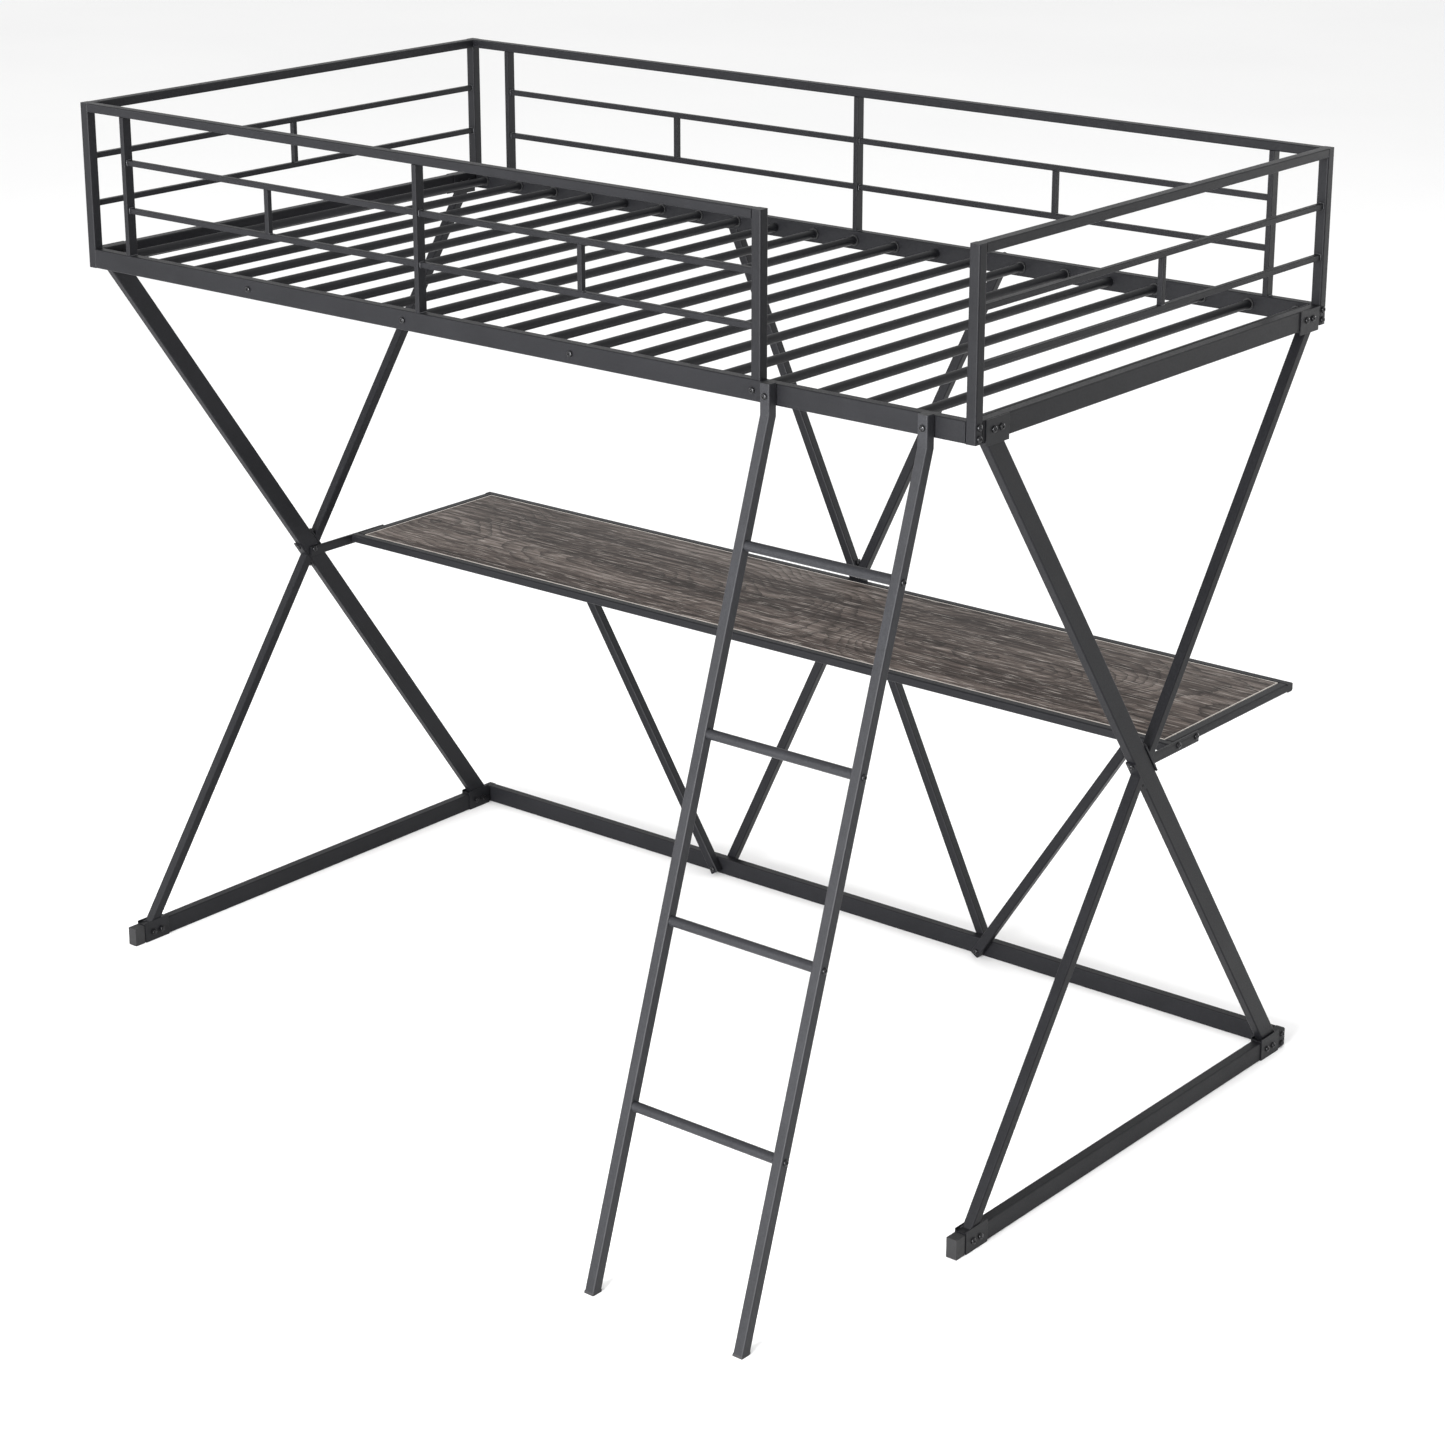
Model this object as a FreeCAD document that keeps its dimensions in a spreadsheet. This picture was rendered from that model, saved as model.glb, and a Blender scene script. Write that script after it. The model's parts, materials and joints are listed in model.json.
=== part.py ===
import FreeCAD, Part
import math
import os
import Sketcher

# Metal loft bed with a desk under it: a twin-size sleeping deck on two X-shaped end frames,
# guard rails round the deck, a sloping ladder at the front and a desk along the back.
# Millimetres. +X runs along the bed, +Y to the back, +Z up. The origin is on the floor, at the
# centre of the object's own bounding box.

V = FreeCAD.Vector
doc = FreeCAD.newDocument("loft_bed_with_desk")
dims = doc.addObject("Spreadsheet::Sheet", "dims")

SIZES = [
    # overall
    ("bed_length", 1980),
    ("frame_width", 1030),
    ("overall_height", 1650),
    # tube sections
    ("tube_width", 19),
    ("tube_wall", 1.2),
    ("corner_radius", 2.5),
    ("rail_height", 35),
    ("rail_top", 1383),
    ("top_rail_height", 16),
    ("bar_width", 10),
    ("bar_wall", 1),
    ("plug_thickness", 4),
    # guards
    ("upright_inset", 90),
    ("entry_width", 388),
    # slats
    ("slat_diameter", 16),
    ("slat_wall", 1),
    ("slat_pitch", 94.5),
    ("sleeve_radius", 10.5),
    ("sleeve_thickness", 2.5),
    ("threaded_end", 10),
    # end frames
    ("beam_thickness", 17),
    ("beam_depth", 36),
    ("beam_inset", 52),
    ("bracket_inset", 25),
    ("bracket_length", 60),
    ("bracket_lip", 6),
    ("bracket_bolt_pitch", 20),
    ("plate_thickness", 2),
    ("flange_length", 64),
    ("flange_thickness", 3),
    ("flange_bolt_offset", 25),
    # desk
    ("desk_height", 697),
    ("desk_depth", 412),
    ("desk_rim_height", 16),
    ("desk_rim_radius", 4),
    ("desk_rim_wall", 1.6),
    ("board_thickness", 12),
    ("board_reveal", 0.5),
    ("arm_thickness", 4),
    ("arm_height", 19),
    ("arm_overlap", 92),
    ("arm_bolt_rise", 8),
    ("support_width", 40),
    # back braces and desk braces
    ("brace_top_spread", 640),
    ("brace_end_margin", 11),
    ("brace_flange_length", 76),
    ("brace_bolt_offset", 31.5),
    ("desk_brace_foot", 330),
    ("desk_brace_head", 758),
    ("desk_brace_bolt_height", 14),
    ("desk_brace_margin", 9),
    ("tab_length", 44),
    # ladder
    ("ladder_reach", 452.5),
    ("ladder_bend", 1335),
    ("ladder_top", 1386),
    ("ladder_width", 319),
    ("ladder_side_gap", 74),
    ("rung_diameter", 17),
    ("rung_wall", 1.2),
    ("rung_pitch", 283.5),
    ("first_rung", 289.5),
    # fasteners and plastic ends
    ("bolt_radius", 3),
    ("bolt_clearance", 0.1),
    ("head_radius", 5.5),
    ("head_edge", 1),
    ("head_height", 3.3),
    ("head_top_radius", 3.9),
    ("socket_radius", 2.3),
    ("socket_depth", 2),
    ("thread_engagement", 8),
    ("hole_overrun", 0.5),
    ("nut_radius", 5.8),
    ("nut_height", 5),
    ("cap_length", 23.5),
    ("cap_proud", 0.8),
    ("cap_plug", 14),
    ("plug_clearance", 0.05),
]
SLAT_COUNT = 21
BOLTED_SLATS = (4, 8, 12, 16)
RUNG_COUNT = 4

for row, (alias, value) in enumerate(SIZES, start=1):
    cell = "B%d" % row
    dims.set("A%d" % row, alias)
    dims.set(cell, str(value))
    dims.setAlias(cell, alias)
doc.recompute()


# Places that several pieces share, as expressions.
HALF_LENGTH = "dims.bed_length / 2"
TUBE = "dims.tube_width"
HALF_TUBE = "dims.tube_width / 2"
OVERALL_BACK = "(dims.frame_width + dims.tube_width + dims.head_height)"
FRONT = "((dims.ladder_reach - %s) / 2)" % OVERALL_BACK
RAIL_BOTTOM = "(dims.rail_top - dims.rail_height)"
RAIL_MIDDLE = "(dims.rail_top - dims.rail_height / 2)"
TOP_RAIL_BOTTOM = "(dims.overall_height - dims.top_rail_height)"
GUARD_OPENING = "(%s - dims.rail_top)" % TOP_RAIL_BOTTOM
BAR_GAP = "((%s - 2 * dims.bar_width) / 3)" % GUARD_OPENING
BEAM_RISE = "(%s - dims.rail_height)" % RAIL_BOTTOM
BEAM_RUN = "(dims.frame_width - 2 * dims.beam_inset)"
BEAM_ANGLE = "atan2(%s; %s)" % (BEAM_RUN, BEAM_RISE)
CROSS_HEIGHT = "((%s + dims.rail_height) / 2)" % RAIL_BOTTOM
BRACE_RISE = "(%s - dims.rail_height / 2)" % RAIL_MIDDLE
BRACE_ANGLE = "atan2(dims.brace_top_spread; %s)" % BRACE_RISE
BRACE_HEIGHT = "((%s + dims.rail_height / 2) / 2)" % RAIL_MIDDLE
LADDER_ANGLE = "atan2(dims.ladder_reach - dims.tube_width; dims.ladder_bend)"
DESK_BOTTOM = "(dims.desk_height - dims.desk_rim_height)"
DESK_INSET = "(dims.tube_width + dims.arm_thickness)"


def across(side, distance):
    """X of a point at a distance inwards from the outer face of the left or right end."""
    if side == "left":
        return "-%s + (%s)" % (HALF_LENGTH, distance)
    return "%s - (%s)" % (HALF_LENGTH, distance)


def along(distance):
    """X of a point at a distance from the left end."""
    return across("left", distance)


def depth(distance):
    """Y of a point at a distance behind the front face of the bed frame."""
    return "%s + (%s)" % (FRONT, distance)


def place(piece, x, y, z, rotation=None, angle=None):
    if rotation is not None:
        piece.Placement.Rotation = rotation
    if angle is not None:
        piece.setExpression("Placement.Rotation.Angle", angle)
    piece.setExpression("Placement.Base.x", x)
    piece.setExpression("Placement.Base.y", y)
    piece.setExpression("Placement.Base.z", z)
    return piece


# Rotations that turn a piece's own +Z to a direction of the bed.
TO_X = FreeCAD.Rotation(V(1, 1, 1), 120)
TO_Y = FreeCAD.Rotation(V(1, 0, 0), -90)
TO_Z = FreeCAD.Rotation()
FACING = {
    "+X": FreeCAD.Rotation(V(0, 1, 0), 90),
    "-X": FreeCAD.Rotation(V(0, 1, 0), -90),
    "+Y": FreeCAD.Rotation(V(1, 0, 0), -90),
    "-Y": FreeCAD.Rotation(V(1, 0, 0), 90),
    "+Z": FreeCAD.Rotation(),
    "-Z": FreeCAD.Rotation(V(1, 0, 0), 180),
}
TILT_X = FreeCAD.Rotation(V(1, 0, 0), 30)
TILT_Y = FreeCAD.Rotation(V(0, 1, 0), 30)


def bind(sketch, constraint, expression):
    index = sketch.addConstraint(constraint)
    sketch.setExpression("Constraints[%d]" % index, expression)


def add_rectangle(sketch, width, height, first):
    """A centred rectangle with sharp corners, whose lines start at the given index."""
    w = sketch.evalExpression(width)
    h = sketch.evalExpression(height)
    x = float(w) / 2
    y = float(h) / 2
    corners = [V(-x, -y, 0), V(x, -y, 0), V(x, y, 0), V(-x, y, 0)]
    for i in range(4):
        sketch.addGeometry(Part.LineSegment(corners[i], corners[(i + 1) % 4]), False)
    for i in range(4):
        nxt = first + (i + 1) % 4
        sketch.addConstraint(Sketcher.Constraint("Coincident", first + i, 2, nxt, 1))
    for i in (0, 2):
        sketch.addConstraint(Sketcher.Constraint("Horizontal", first + i))
        sketch.addConstraint(Sketcher.Constraint("Vertical", first + i + 1))
    bind(sketch, Sketcher.Constraint("DistanceX", -1, 1, first + 1, 1, x), "(%s) / 2" % width)
    bind(sketch, Sketcher.Constraint("DistanceY", -1, 1, first + 2, 1, y), "(%s) / 2" % height)
    bind(sketch, Sketcher.Constraint("DistanceX", first + 3, 1, first + 1, 2, 2 * x), width)
    bind(sketch, Sketcher.Constraint("DistanceY", first, 1, first + 2, 2, 2 * y), height)


def add_rounded_rectangle(sketch, width, height, radius):
    """A centred rectangle with four equal round corners."""
    x = float(sketch.evalExpression(width)) / 2
    y = float(sketch.evalExpression(height)) / 2
    r = float(sketch.evalExpression(radius))
    lines = [
        (V(-x + r, -y, 0), V(x - r, -y, 0)),
        (V(x, -y + r, 0), V(x, y - r, 0)),
        (V(x - r, y, 0), V(-x + r, y, 0)),
        (V(-x, y - r, 0), V(-x, -y + r, 0)),
    ]
    centres = [V(x - r, -y + r, 0), V(x - r, y - r, 0), V(-x + r, y - r, 0), V(-x + r, -y + r, 0)]
    for start, end in lines:
        sketch.addGeometry(Part.LineSegment(start, end), False)
    for quarter, centre in enumerate(centres):
        circle = Part.Circle(centre, V(0, 0, 1), r)
        turn = (quarter - 1) * math.pi / 2
        sketch.addGeometry(Part.ArcOfCircle(circle, turn, turn + math.pi / 2), False)
    for i in range(4):
        sketch.addConstraint(Sketcher.Constraint("Tangent", i, 2, 4 + i, 1))
        sketch.addConstraint(Sketcher.Constraint("Tangent", 4 + i, 2, (i + 1) % 4, 1))
    for i in (0, 2):
        sketch.addConstraint(Sketcher.Constraint("Horizontal", i))
        sketch.addConstraint(Sketcher.Constraint("Vertical", i + 1))
    for i in (5, 6, 7):
        sketch.addConstraint(Sketcher.Constraint("Equal", 4, i))
    bind(sketch, Sketcher.Constraint("DistanceX", -1, 1, 1, 1, x), "(%s) / 2" % width)
    bind(sketch, Sketcher.Constraint("DistanceY", -1, 1, 2, 1, y), "(%s) / 2" % height)
    bind(sketch, Sketcher.Constraint("DistanceX", 3, 1, 1, 2, 2 * x), width)
    bind(sketch, Sketcher.Constraint("DistanceY", 0, 1, 2, 2, 2 * y), height)
    bind(sketch, Sketcher.Constraint("Radius", 4, r), radius)


def solid_profile(name, width, height):
    sketch = doc.addObject("Sketcher::SketchObject", name)
    add_rectangle(sketch, width, height, 0)
    return sketch


def tube_profile(name, width, height, radius="dims.corner_radius", wall="dims.tube_wall"):
    sketch = doc.addObject("Sketcher::SketchObject", name)
    add_rounded_rectangle(sketch, width, height, radius)
    add_rectangle(sketch, "%s - 2 * %s" % (width, wall), "%s - 2 * %s" % (height, wall), 8)
    return sketch


def bore_profile(name, width, height, wall="dims.tube_wall", gap="0"):
    """What fills a tube's bore, less a gap all round."""
    less = "2 * (%s + %s)" % (wall, gap)
    return solid_profile(name, "%s - %s" % (width, less), "%s - %s" % (height, less))


RAIL = tube_profile("rail_section", TUBE, "dims.rail_height")
TOP_RAIL = tube_profile("top_rail_section", TUBE, "dims.top_rail_height")
SQUARE = tube_profile("square_section", TUBE, TUBE)
BEAM = tube_profile("beam_section", "dims.beam_thickness", "dims.beam_depth")
DESK_RIM = tube_profile("desk_rim_section", TUBE, "dims.desk_rim_height",
                        "dims.desk_rim_radius", "dims.desk_rim_wall")
THIN = {"radius": "dims.bar_wall * 1.2", "wall": "dims.bar_wall"}
UPRIGHT = tube_profile("upright_section", "dims.bar_width", TUBE, **THIN)
BAR = tube_profile("bar_section", "dims.bar_width", "dims.bar_width", **THIN)
RAIL_BORE = bore_profile("rail_bore", TUBE, "dims.rail_height")
SQUARE_BORE = bore_profile("square_bore", TUBE, TUBE)
SQUARE_PLUG = bore_profile("square_plug", TUBE, TUBE, gap="dims.plug_clearance")
RAIL_PLUG = bore_profile("rail_plug", TUBE, "dims.rail_height", gap="dims.plug_clearance")
DESK_BORE = bore_profile("desk_rim_bore", TUBE, "dims.desk_rim_height", "dims.desk_rim_wall")
FLANGE = solid_profile("flange_section", TUBE, "dims.flange_thickness")
BRACE_FLANGE = solid_profile("brace_flange_section", "dims.flange_thickness", TUBE)
ARM = solid_profile("arm_section", "dims.arm_thickness", "dims.arm_height")


def run(name, profile, length, x, y, z, rotation=TO_Z, angle=None, centred=False):
    """A section drawn out along its own +Z, from its start or equally both ways."""
    piece = doc.addObject("Part::Extrusion", name)
    piece.Base = profile
    piece.DirMode = "Custom"
    piece.Dir = V(0, 0, 1)
    piece.Solid = True
    piece.Symmetric = centred
    piece.setExpression("LengthFwd", length)
    return place(piece, x, y, z, rotation, angle)


def box(name, length, width, height, x, y, z):
    piece = doc.addObject("Part::Box", name)
    piece.setExpression("Length", length)
    piece.setExpression("Width", width)
    piece.setExpression("Height", height)
    return place(piece, x, y, z)


def cylinder(name, radius, height, x="0", y="0", z="0", rotation=TO_Z):
    piece = doc.addObject("Part::Cylinder", name)
    piece.setExpression("Radius", radius)
    piece.setExpression("Height", height)
    return place(piece, x, y, z, rotation)


def cut(name, base, tool):
    piece = doc.addObject("Part::Cut", name)
    piece.Base = base
    piece.Tool = tool
    return piece


def common(name, base, tool):
    piece = doc.addObject("Part::Common", name)
    piece.Base = base
    piece.Tool = tool
    return piece


def fuse(name, pieces):
    piece = doc.addObject("Part::MultiFuse", name)
    piece.Shapes = pieces
    piece.Refine = True
    return piece


def group(name, pieces):
    piece = doc.addObject("Part::Compound", name)
    piece.Links = pieces
    return piece


NODES = {}


def node(name, pieces):
    """One named sub-part of the bed, of one solid or of several that are welded or alike."""
    piece = pieces[0] if len(pieces) == 1 else group(name, pieces)
    piece.Label = name
    NODES[name] = piece


# ---------------------------------------------------------------------------------------
# Fasteners. Each has its seat at the origin, its head above it and its shank below.

SHANKS = {
    "deep": "(dims.tube_width + dims.thread_engagement)",
    "short": "(dims.arm_thickness + dims.thread_engagement)",
    "saddle": "(dims.tube_width + 2 * dims.plate_thickness)",
    "beam": "(dims.beam_depth + 2 * dims.flange_thickness)",
    "brace": "(dims.tube_width + 2 * dims.flange_thickness)",
}
WITH_NUT = ("saddle", "beam", "brace")


def make_bolt(kind):
    grip = SHANKS[kind]
    reach = "%s + dims.nut_height + dims.head_edge" % grip if kind in WITH_NUT else grip
    edge = cylinder(kind + "_head_edge", "dims.head_radius", "dims.head_edge")
    dome = doc.addObject("Part::Cone", kind + "_head_dome")
    dome.setExpression("Radius1", "dims.head_radius")
    dome.setExpression("Radius2", "dims.head_top_radius")
    dome.setExpression("Height", "dims.head_height - dims.head_edge")
    place(dome, "0", "0", "dims.head_edge")
    shank = cylinder(kind + "_shank", "dims.bolt_radius", reach, z="-(%s)" % reach)
    socket = doc.addObject("Part::Prism", kind + "_socket")
    socket.Polygon = 6
    socket.setExpression("Circumradius", "dims.socket_radius")
    socket.setExpression("Height", "dims.socket_depth + dims.hole_overrun")
    place(socket, "0", "0", "dims.head_height - dims.socket_depth")
    bolt = cut(kind + "_bolt", fuse(kind + "_blank", [edge, dome, shank]), socket)
    if kind not in WITH_NUT:
        return bolt
    blank = doc.addObject("Part::Prism", kind + "_nut_blank")
    blank.Polygon = 6
    blank.setExpression("Circumradius", "dims.nut_radius")
    blank.setExpression("Height", "dims.nut_height")
    bore = cylinder(kind + "_nut_bore", "dims.bolt_radius + dims.bolt_clearance",
                    "dims.nut_height")
    nut = cut(kind + "_nut", blank, bore)
    place(nut, "0", "0", "-(%s + dims.nut_height)" % grip)
    return group(kind + "_bolt_with_nut", [bolt, nut])


def make_hole(kind):
    reach = "%s + dims.hole_overrun" % SHANKS[kind]
    return cylinder(kind + "_hole", "dims.bolt_radius + dims.bolt_clearance",
                    "%s + dims.hole_overrun" % reach, z="-(%s)" % reach)


BOLT_MASTERS = {kind: make_bolt(kind) for kind in SHANKS}
HOLE_MASTERS = {kind: make_hole(kind) for kind in SHANKS}


def copy_of(name, master, x, y, z, rotation, angle):
    link = doc.addObject("App::Link", name)
    link.LinkedObject = master
    link.LinkTransform = True
    return place(link, x, y, z, rotation, angle)


def bolt(name, kind, facing, x, y, z, angle=None):
    """A bolt and the hole it needs, with the head facing a direction of the bed."""
    rotation = FACING[facing] if isinstance(facing, str) else facing
    made = copy_of(name, BOLT_MASTERS[kind], x, y, z, rotation, angle)
    hole = copy_of(name + "_hole", HOLE_MASTERS[kind], x, y, z, rotation, angle)
    return made, hole


def drilled(name, piece, bolts):
    """A piece with the holes of the bolts that pass through it."""
    return cut(name, piece, group(name + "_holes", [hole for made, hole in bolts]))


def heads(bolts):
    return [made for made, hole in bolts]


# ---------------------------------------------------------------------------------------
# Deck: side rails with bolted slats, and the end frames' rails and posts.

INNER_LENGTH = "(dims.bed_length - 2 * dims.tube_width)"
INNER_WIDTH = "(dims.frame_width - 2 * dims.tube_width)"
RAIL_Y = {"front": HALF_TUBE, "back": "dims.frame_width - dims.tube_width / 2"}
RAIL_FACE = {"front": "0", "back": "dims.frame_width"}
OUTWARD = {"front": "-Y", "back": "+Y", "left": "-X", "right": "+X"}
SLAT_BOLTS = {"front": [], "back": []}
CORNER_BOLTS = []
CORNER_BOLT_DROP = "dims.rail_height / 4"


def slat_x(index):
    return "dims.slat_pitch * %d" % (index - SLAT_COUNT // 2)


for row in ("front", "back"):
    for index in BOLTED_SLATS:
        SLAT_BOLTS[row].append(bolt(
            "%s_slat_bolt_%d" % (row, index + 1), "deep", OUTWARD[row],
            slat_x(index), depth(RAIL_FACE[row]), RAIL_MIDDLE))

RAIL_END_BOLTS = {}
for row in ("front", "back"):
    for side in ("left", "right"):
        pair = []
        for level, lift in (("upper", CORNER_BOLT_DROP), ("lower", "-" + CORNER_BOLT_DROP)):
            pair.append(bolt(
                "%s_%s_corner_bolt_%s" % (row, side, level), "deep", OUTWARD[side],
                across(side, "0"), depth(RAIL_Y[row]), "%s + %s" % (RAIL_MIDDLE, lift)))
        RAIL_END_BOLTS[row, side] = pair
        CORNER_BOLTS += pair


def end_plugs(name, bore, bolts_by_side, y, z):
    """Threaded blocks welded inside both ends of a long rail."""
    plugs = []
    for side in ("left", "right"):
        start = TUBE if side == "left" else "dims.tube_width + dims.threaded_end"
        block = run("%s_%s_block" % (name, side), bore, "dims.threaded_end",
                    across(side, start), y, z, TO_X)
        plugs.append(drilled("%s_%s_plug" % (name, side), block, bolts_by_side[side]))
    return plugs


LADDER_STILES = {
    "left": "dims.bed_length - dims.ladder_side_gap - dims.ladder_width + dims.tube_width / 2",
    "right": "dims.bed_length - dims.ladder_side_gap - dims.tube_width / 2",
}
LADDER_TOP_BOLTS = {}
for side in ("left", "right"):
    LADDER_TOP_BOLTS[side] = bolt(
        "ladder_%s_top_bolt" % side, "deep", "-Y",
        along(LADDER_STILES[side]), depth("-dims.tube_width"), RAIL_MIDDLE)

BACK_BRACE_BOLTS = {}
for end, sign, height in (("top_left", "-", RAIL_MIDDLE), ("bottom_right", "", "dims.rail_height / 2"),
                          ("top_right", "", RAIL_MIDDLE), ("bottom_left", "-", "dims.rail_height / 2")):
    BACK_BRACE_BOLTS[end] = bolt(
        "back_brace_bolt_" + end, "deep", "+Y",
        sign + "dims.brace_top_spread / 2", depth("dims.frame_width + dims.tube_width"), height)

for row in ("front", "back"):
    tube = run(row + "_side_rail_tube", RAIL, INNER_LENGTH,
               along(TUBE), depth(RAIL_Y[row]), RAIL_MIDDLE, TO_X)
    if row == "front":
        through = [LADDER_TOP_BOLTS["left"], LADDER_TOP_BOLTS["right"]]
    else:
        through = [BACK_BRACE_BOLTS["top_left"], BACK_BRACE_BOLTS["top_right"]]
    body = drilled(row + "_side_rail_body", tube, SLAT_BOLTS[row] + through)
    ends = {side: RAIL_END_BOLTS[row, side] for side in ("left", "right")}
    node(row + "_side_rail",
         [body] + end_plugs(row + "_side_rail", RAIL_BORE, ends, depth(RAIL_Y[row]), RAIL_MIDDLE))

SLEEVES = []
BOLTED = []
for index in range(SLAT_COUNT):
    name = "slat_%02d" % (index + 1)
    x = slat_x(index)
    outer = cylinder(name + "_outer", "dims.slat_diameter / 2", INNER_WIDTH,
                     x, depth(TUBE), RAIL_MIDDLE, TO_Y)
    margin = "dims.threaded_end" if index in BOLTED_SLATS else "0"
    inner = cylinder(name + "_bore", "dims.slat_diameter / 2 - dims.slat_wall",
                     "%s - 2 * %s" % (INNER_WIDTH, margin),
                     x, depth("dims.tube_width + " + margin), RAIL_MIDDLE, TO_Y)
    slat = cut(name + "_tube", outer, inner)
    if index in BOLTED_SLATS:
        which = BOLTED_SLATS.index(index)
        BOLTED.append(drilled(name + "_threaded", slat,
                              [SLAT_BOLTS["front"][which], SLAT_BOLTS["back"][which]]))
    else:
        node(name, [slat])
        for row, start in (("front", TUBE), ("back", "dims.frame_width - dims.tube_width"
                                                     " - dims.sleeve_thickness")):
            ring = cylinder("%s_%s_sleeve_ring" % (name, row), "dims.sleeve_radius",
                            "dims.sleeve_thickness", x, depth(start), RAIL_MIDDLE, TO_Y)
            hole = cylinder("%s_%s_sleeve_bore" % (name, row), "dims.slat_diameter / 2",
                            "dims.sleeve_thickness", x, depth(start), RAIL_MIDDLE, TO_Y)
            SLEEVES.append(cut("%s_%s_sleeve" % (name, row), ring, hole))
node("bolted_slats", BOLTED)
node("slat_sleeves", SLEEVES)

POST_HEIGHT = "(dims.overall_height - %s)" % RAIL_BOTTOM
TUBE_PLUGS = []
BRACKETS = []
SADDLE_BOLTS = []
CROSS_BOLTS = []
for side in ("left", "right"):
    pieces = []
    x = across(side, HALF_TUBE)
    for row in ("front", "back"):
        y = depth(RAIL_Y[row])
        post = run("%s_%s_post_tube" % (side, row), SQUARE, POST_HEIGHT, x, y, RAIL_BOTTOM)
        pieces.append(drilled("%s_%s_post" % (side, row), post, RAIL_END_BOLTS[row, side]))
        pieces.append(run("%s_%s_post_top" % (side, row), SQUARE_BORE, "dims.plate_thickness",
                          x, y, "dims.overall_height - dims.plate_thickness"))
        TUBE_PLUGS.append(run("%s_%s_post_plug" % (side, row), SQUARE_PLUG,
                              "dims.plug_thickness", x, y, RAIL_BOTTOM))
    pieces.append(run(side + "_end_top_rail", TOP_RAIL, INNER_WIDTH, x, depth(TUBE),
                      "dims.overall_height - dims.top_rail_height / 2", TO_Y))
    rail = run(side + "_end_rail_tube", RAIL, INNER_WIDTH, x, depth(TUBE), RAIL_MIDDLE, TO_Y)

    saddle = []
    for row in ("front", "back"):
        for step in ("0", "1"):
            start = "dims.bracket_inset + (dims.bracket_length - dims.bracket_bolt_pitch) / 2"
            reach = "%s + %s * dims.bracket_bolt_pitch" % (start, step)
            y = reach if row == "front" else "dims.frame_width - (%s)" % reach
            for level, z in (("upper", RAIL_MIDDLE), ("lower", "dims.rail_height / 2")):
                saddle.append((row, level, bolt(
                    "%s_%s_%s_saddle_bolt_%s" % (side, row, level, step), "saddle",
                    OUTWARD[side], across(side, "-dims.plate_thickness"), depth(y), z)))
    upper = [made for row, level, made in saddle if level == "upper"]
    lower = [made for row, level, made in saddle if level == "lower"]
    pieces.append(drilled(side + "_end_rail", rail, upper))

    bars = []
    for index in (1, 2):
        z = "dims.rail_top + %d * %s + (%d - 0.5) * dims.bar_width" % (index, BAR_GAP, index)
        bars.append(run("%s_end_bar_%d" % (side, index), BAR, INNER_WIDTH,
                        x, depth(TUBE), z, TO_Y))
    bars.append(run(side + "_end_bar_spacer", BAR, BAR_GAP, x, depth("dims.frame_width / 2"),
                    "dims.rail_top + %s + dims.bar_width" % BAR_GAP))
    node(side + "_end_frame", pieces + bars)

    # Floor rail along the end, with the holes of its saddles and of the back floor rail.
    z = "dims.rail_height / 2"
    floor_bolts = []
    for level, lift in (("upper", CORNER_BOLT_DROP), ("lower", "-" + CORNER_BOLT_DROP)):
        floor_bolts.append(bolt("%s_floor_bolt_%s" % (side, level), "deep", OUTWARD[side],
                                across(side, "0"), depth(RAIL_Y["back"]), "%s + %s" % (z, lift)))
    RAIL_END_BOLTS["floor", side] = floor_bolts
    CORNER_BOLTS += floor_bolts
    rail = run(side + "_floor_rail_tube", RAIL, "dims.frame_width - dims.cap_length",
               x, depth("dims.cap_length"), z, TO_Y)
    node(side + "_floor_rail",
         [drilled(side + "_floor_rail_body", rail, lower + floor_bolts)])

    # Saddle brackets: a web across the beam's end and a plate down each side of the rail.
    brackets = []
    for row in ("front", "back"):
        near = "dims.bracket_inset"
        far = "dims.frame_width - dims.bracket_inset - dims.bracket_length"
        y = near if row == "front" else far
        for level in ("upper", "lower"):
            tag = "%s_%s_%s" % (side, row, level)
            if level == "upper":
                web_z = "%s - dims.plate_thickness" % RAIL_BOTTOM
                plate_z = "%s - dims.bracket_lip" % RAIL_BOTTOM
            else:
                web_z = "dims.rail_height"
                plate_z = "0"
            plate_height = "dims.rail_height + dims.bracket_lip"
            web_start = "0" if side == "left" else TUBE
            web = box(tag + "_web", TUBE, "dims.bracket_length", "dims.plate_thickness",
                      across(side, web_start), depth(y), web_z)
            outer_start = "-dims.plate_thickness" if side == "left" else "0"
            inner_start = TUBE if side == "left" else "dims.tube_width + dims.plate_thickness"
            outer = box(tag + "_outer_plate", "dims.plate_thickness", "dims.bracket_length",
                        plate_height, across(side, outer_start), depth(y), plate_z)
            inner = box(tag + "_inner_plate", "dims.plate_thickness", "dims.bracket_length",
                        plate_height, across(side, inner_start), depth(y), plate_z)
            mine = [made for r, l, made in saddle if (r, l) == (row, level)]
            brackets.append(drilled(tag + "_bracket", fuse(tag + "_channel", [web, outer, inner]),
                                    mine))
    BRACKETS += brackets
    SADDLE_BOLTS += [made for row, level, made in saddle]

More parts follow.
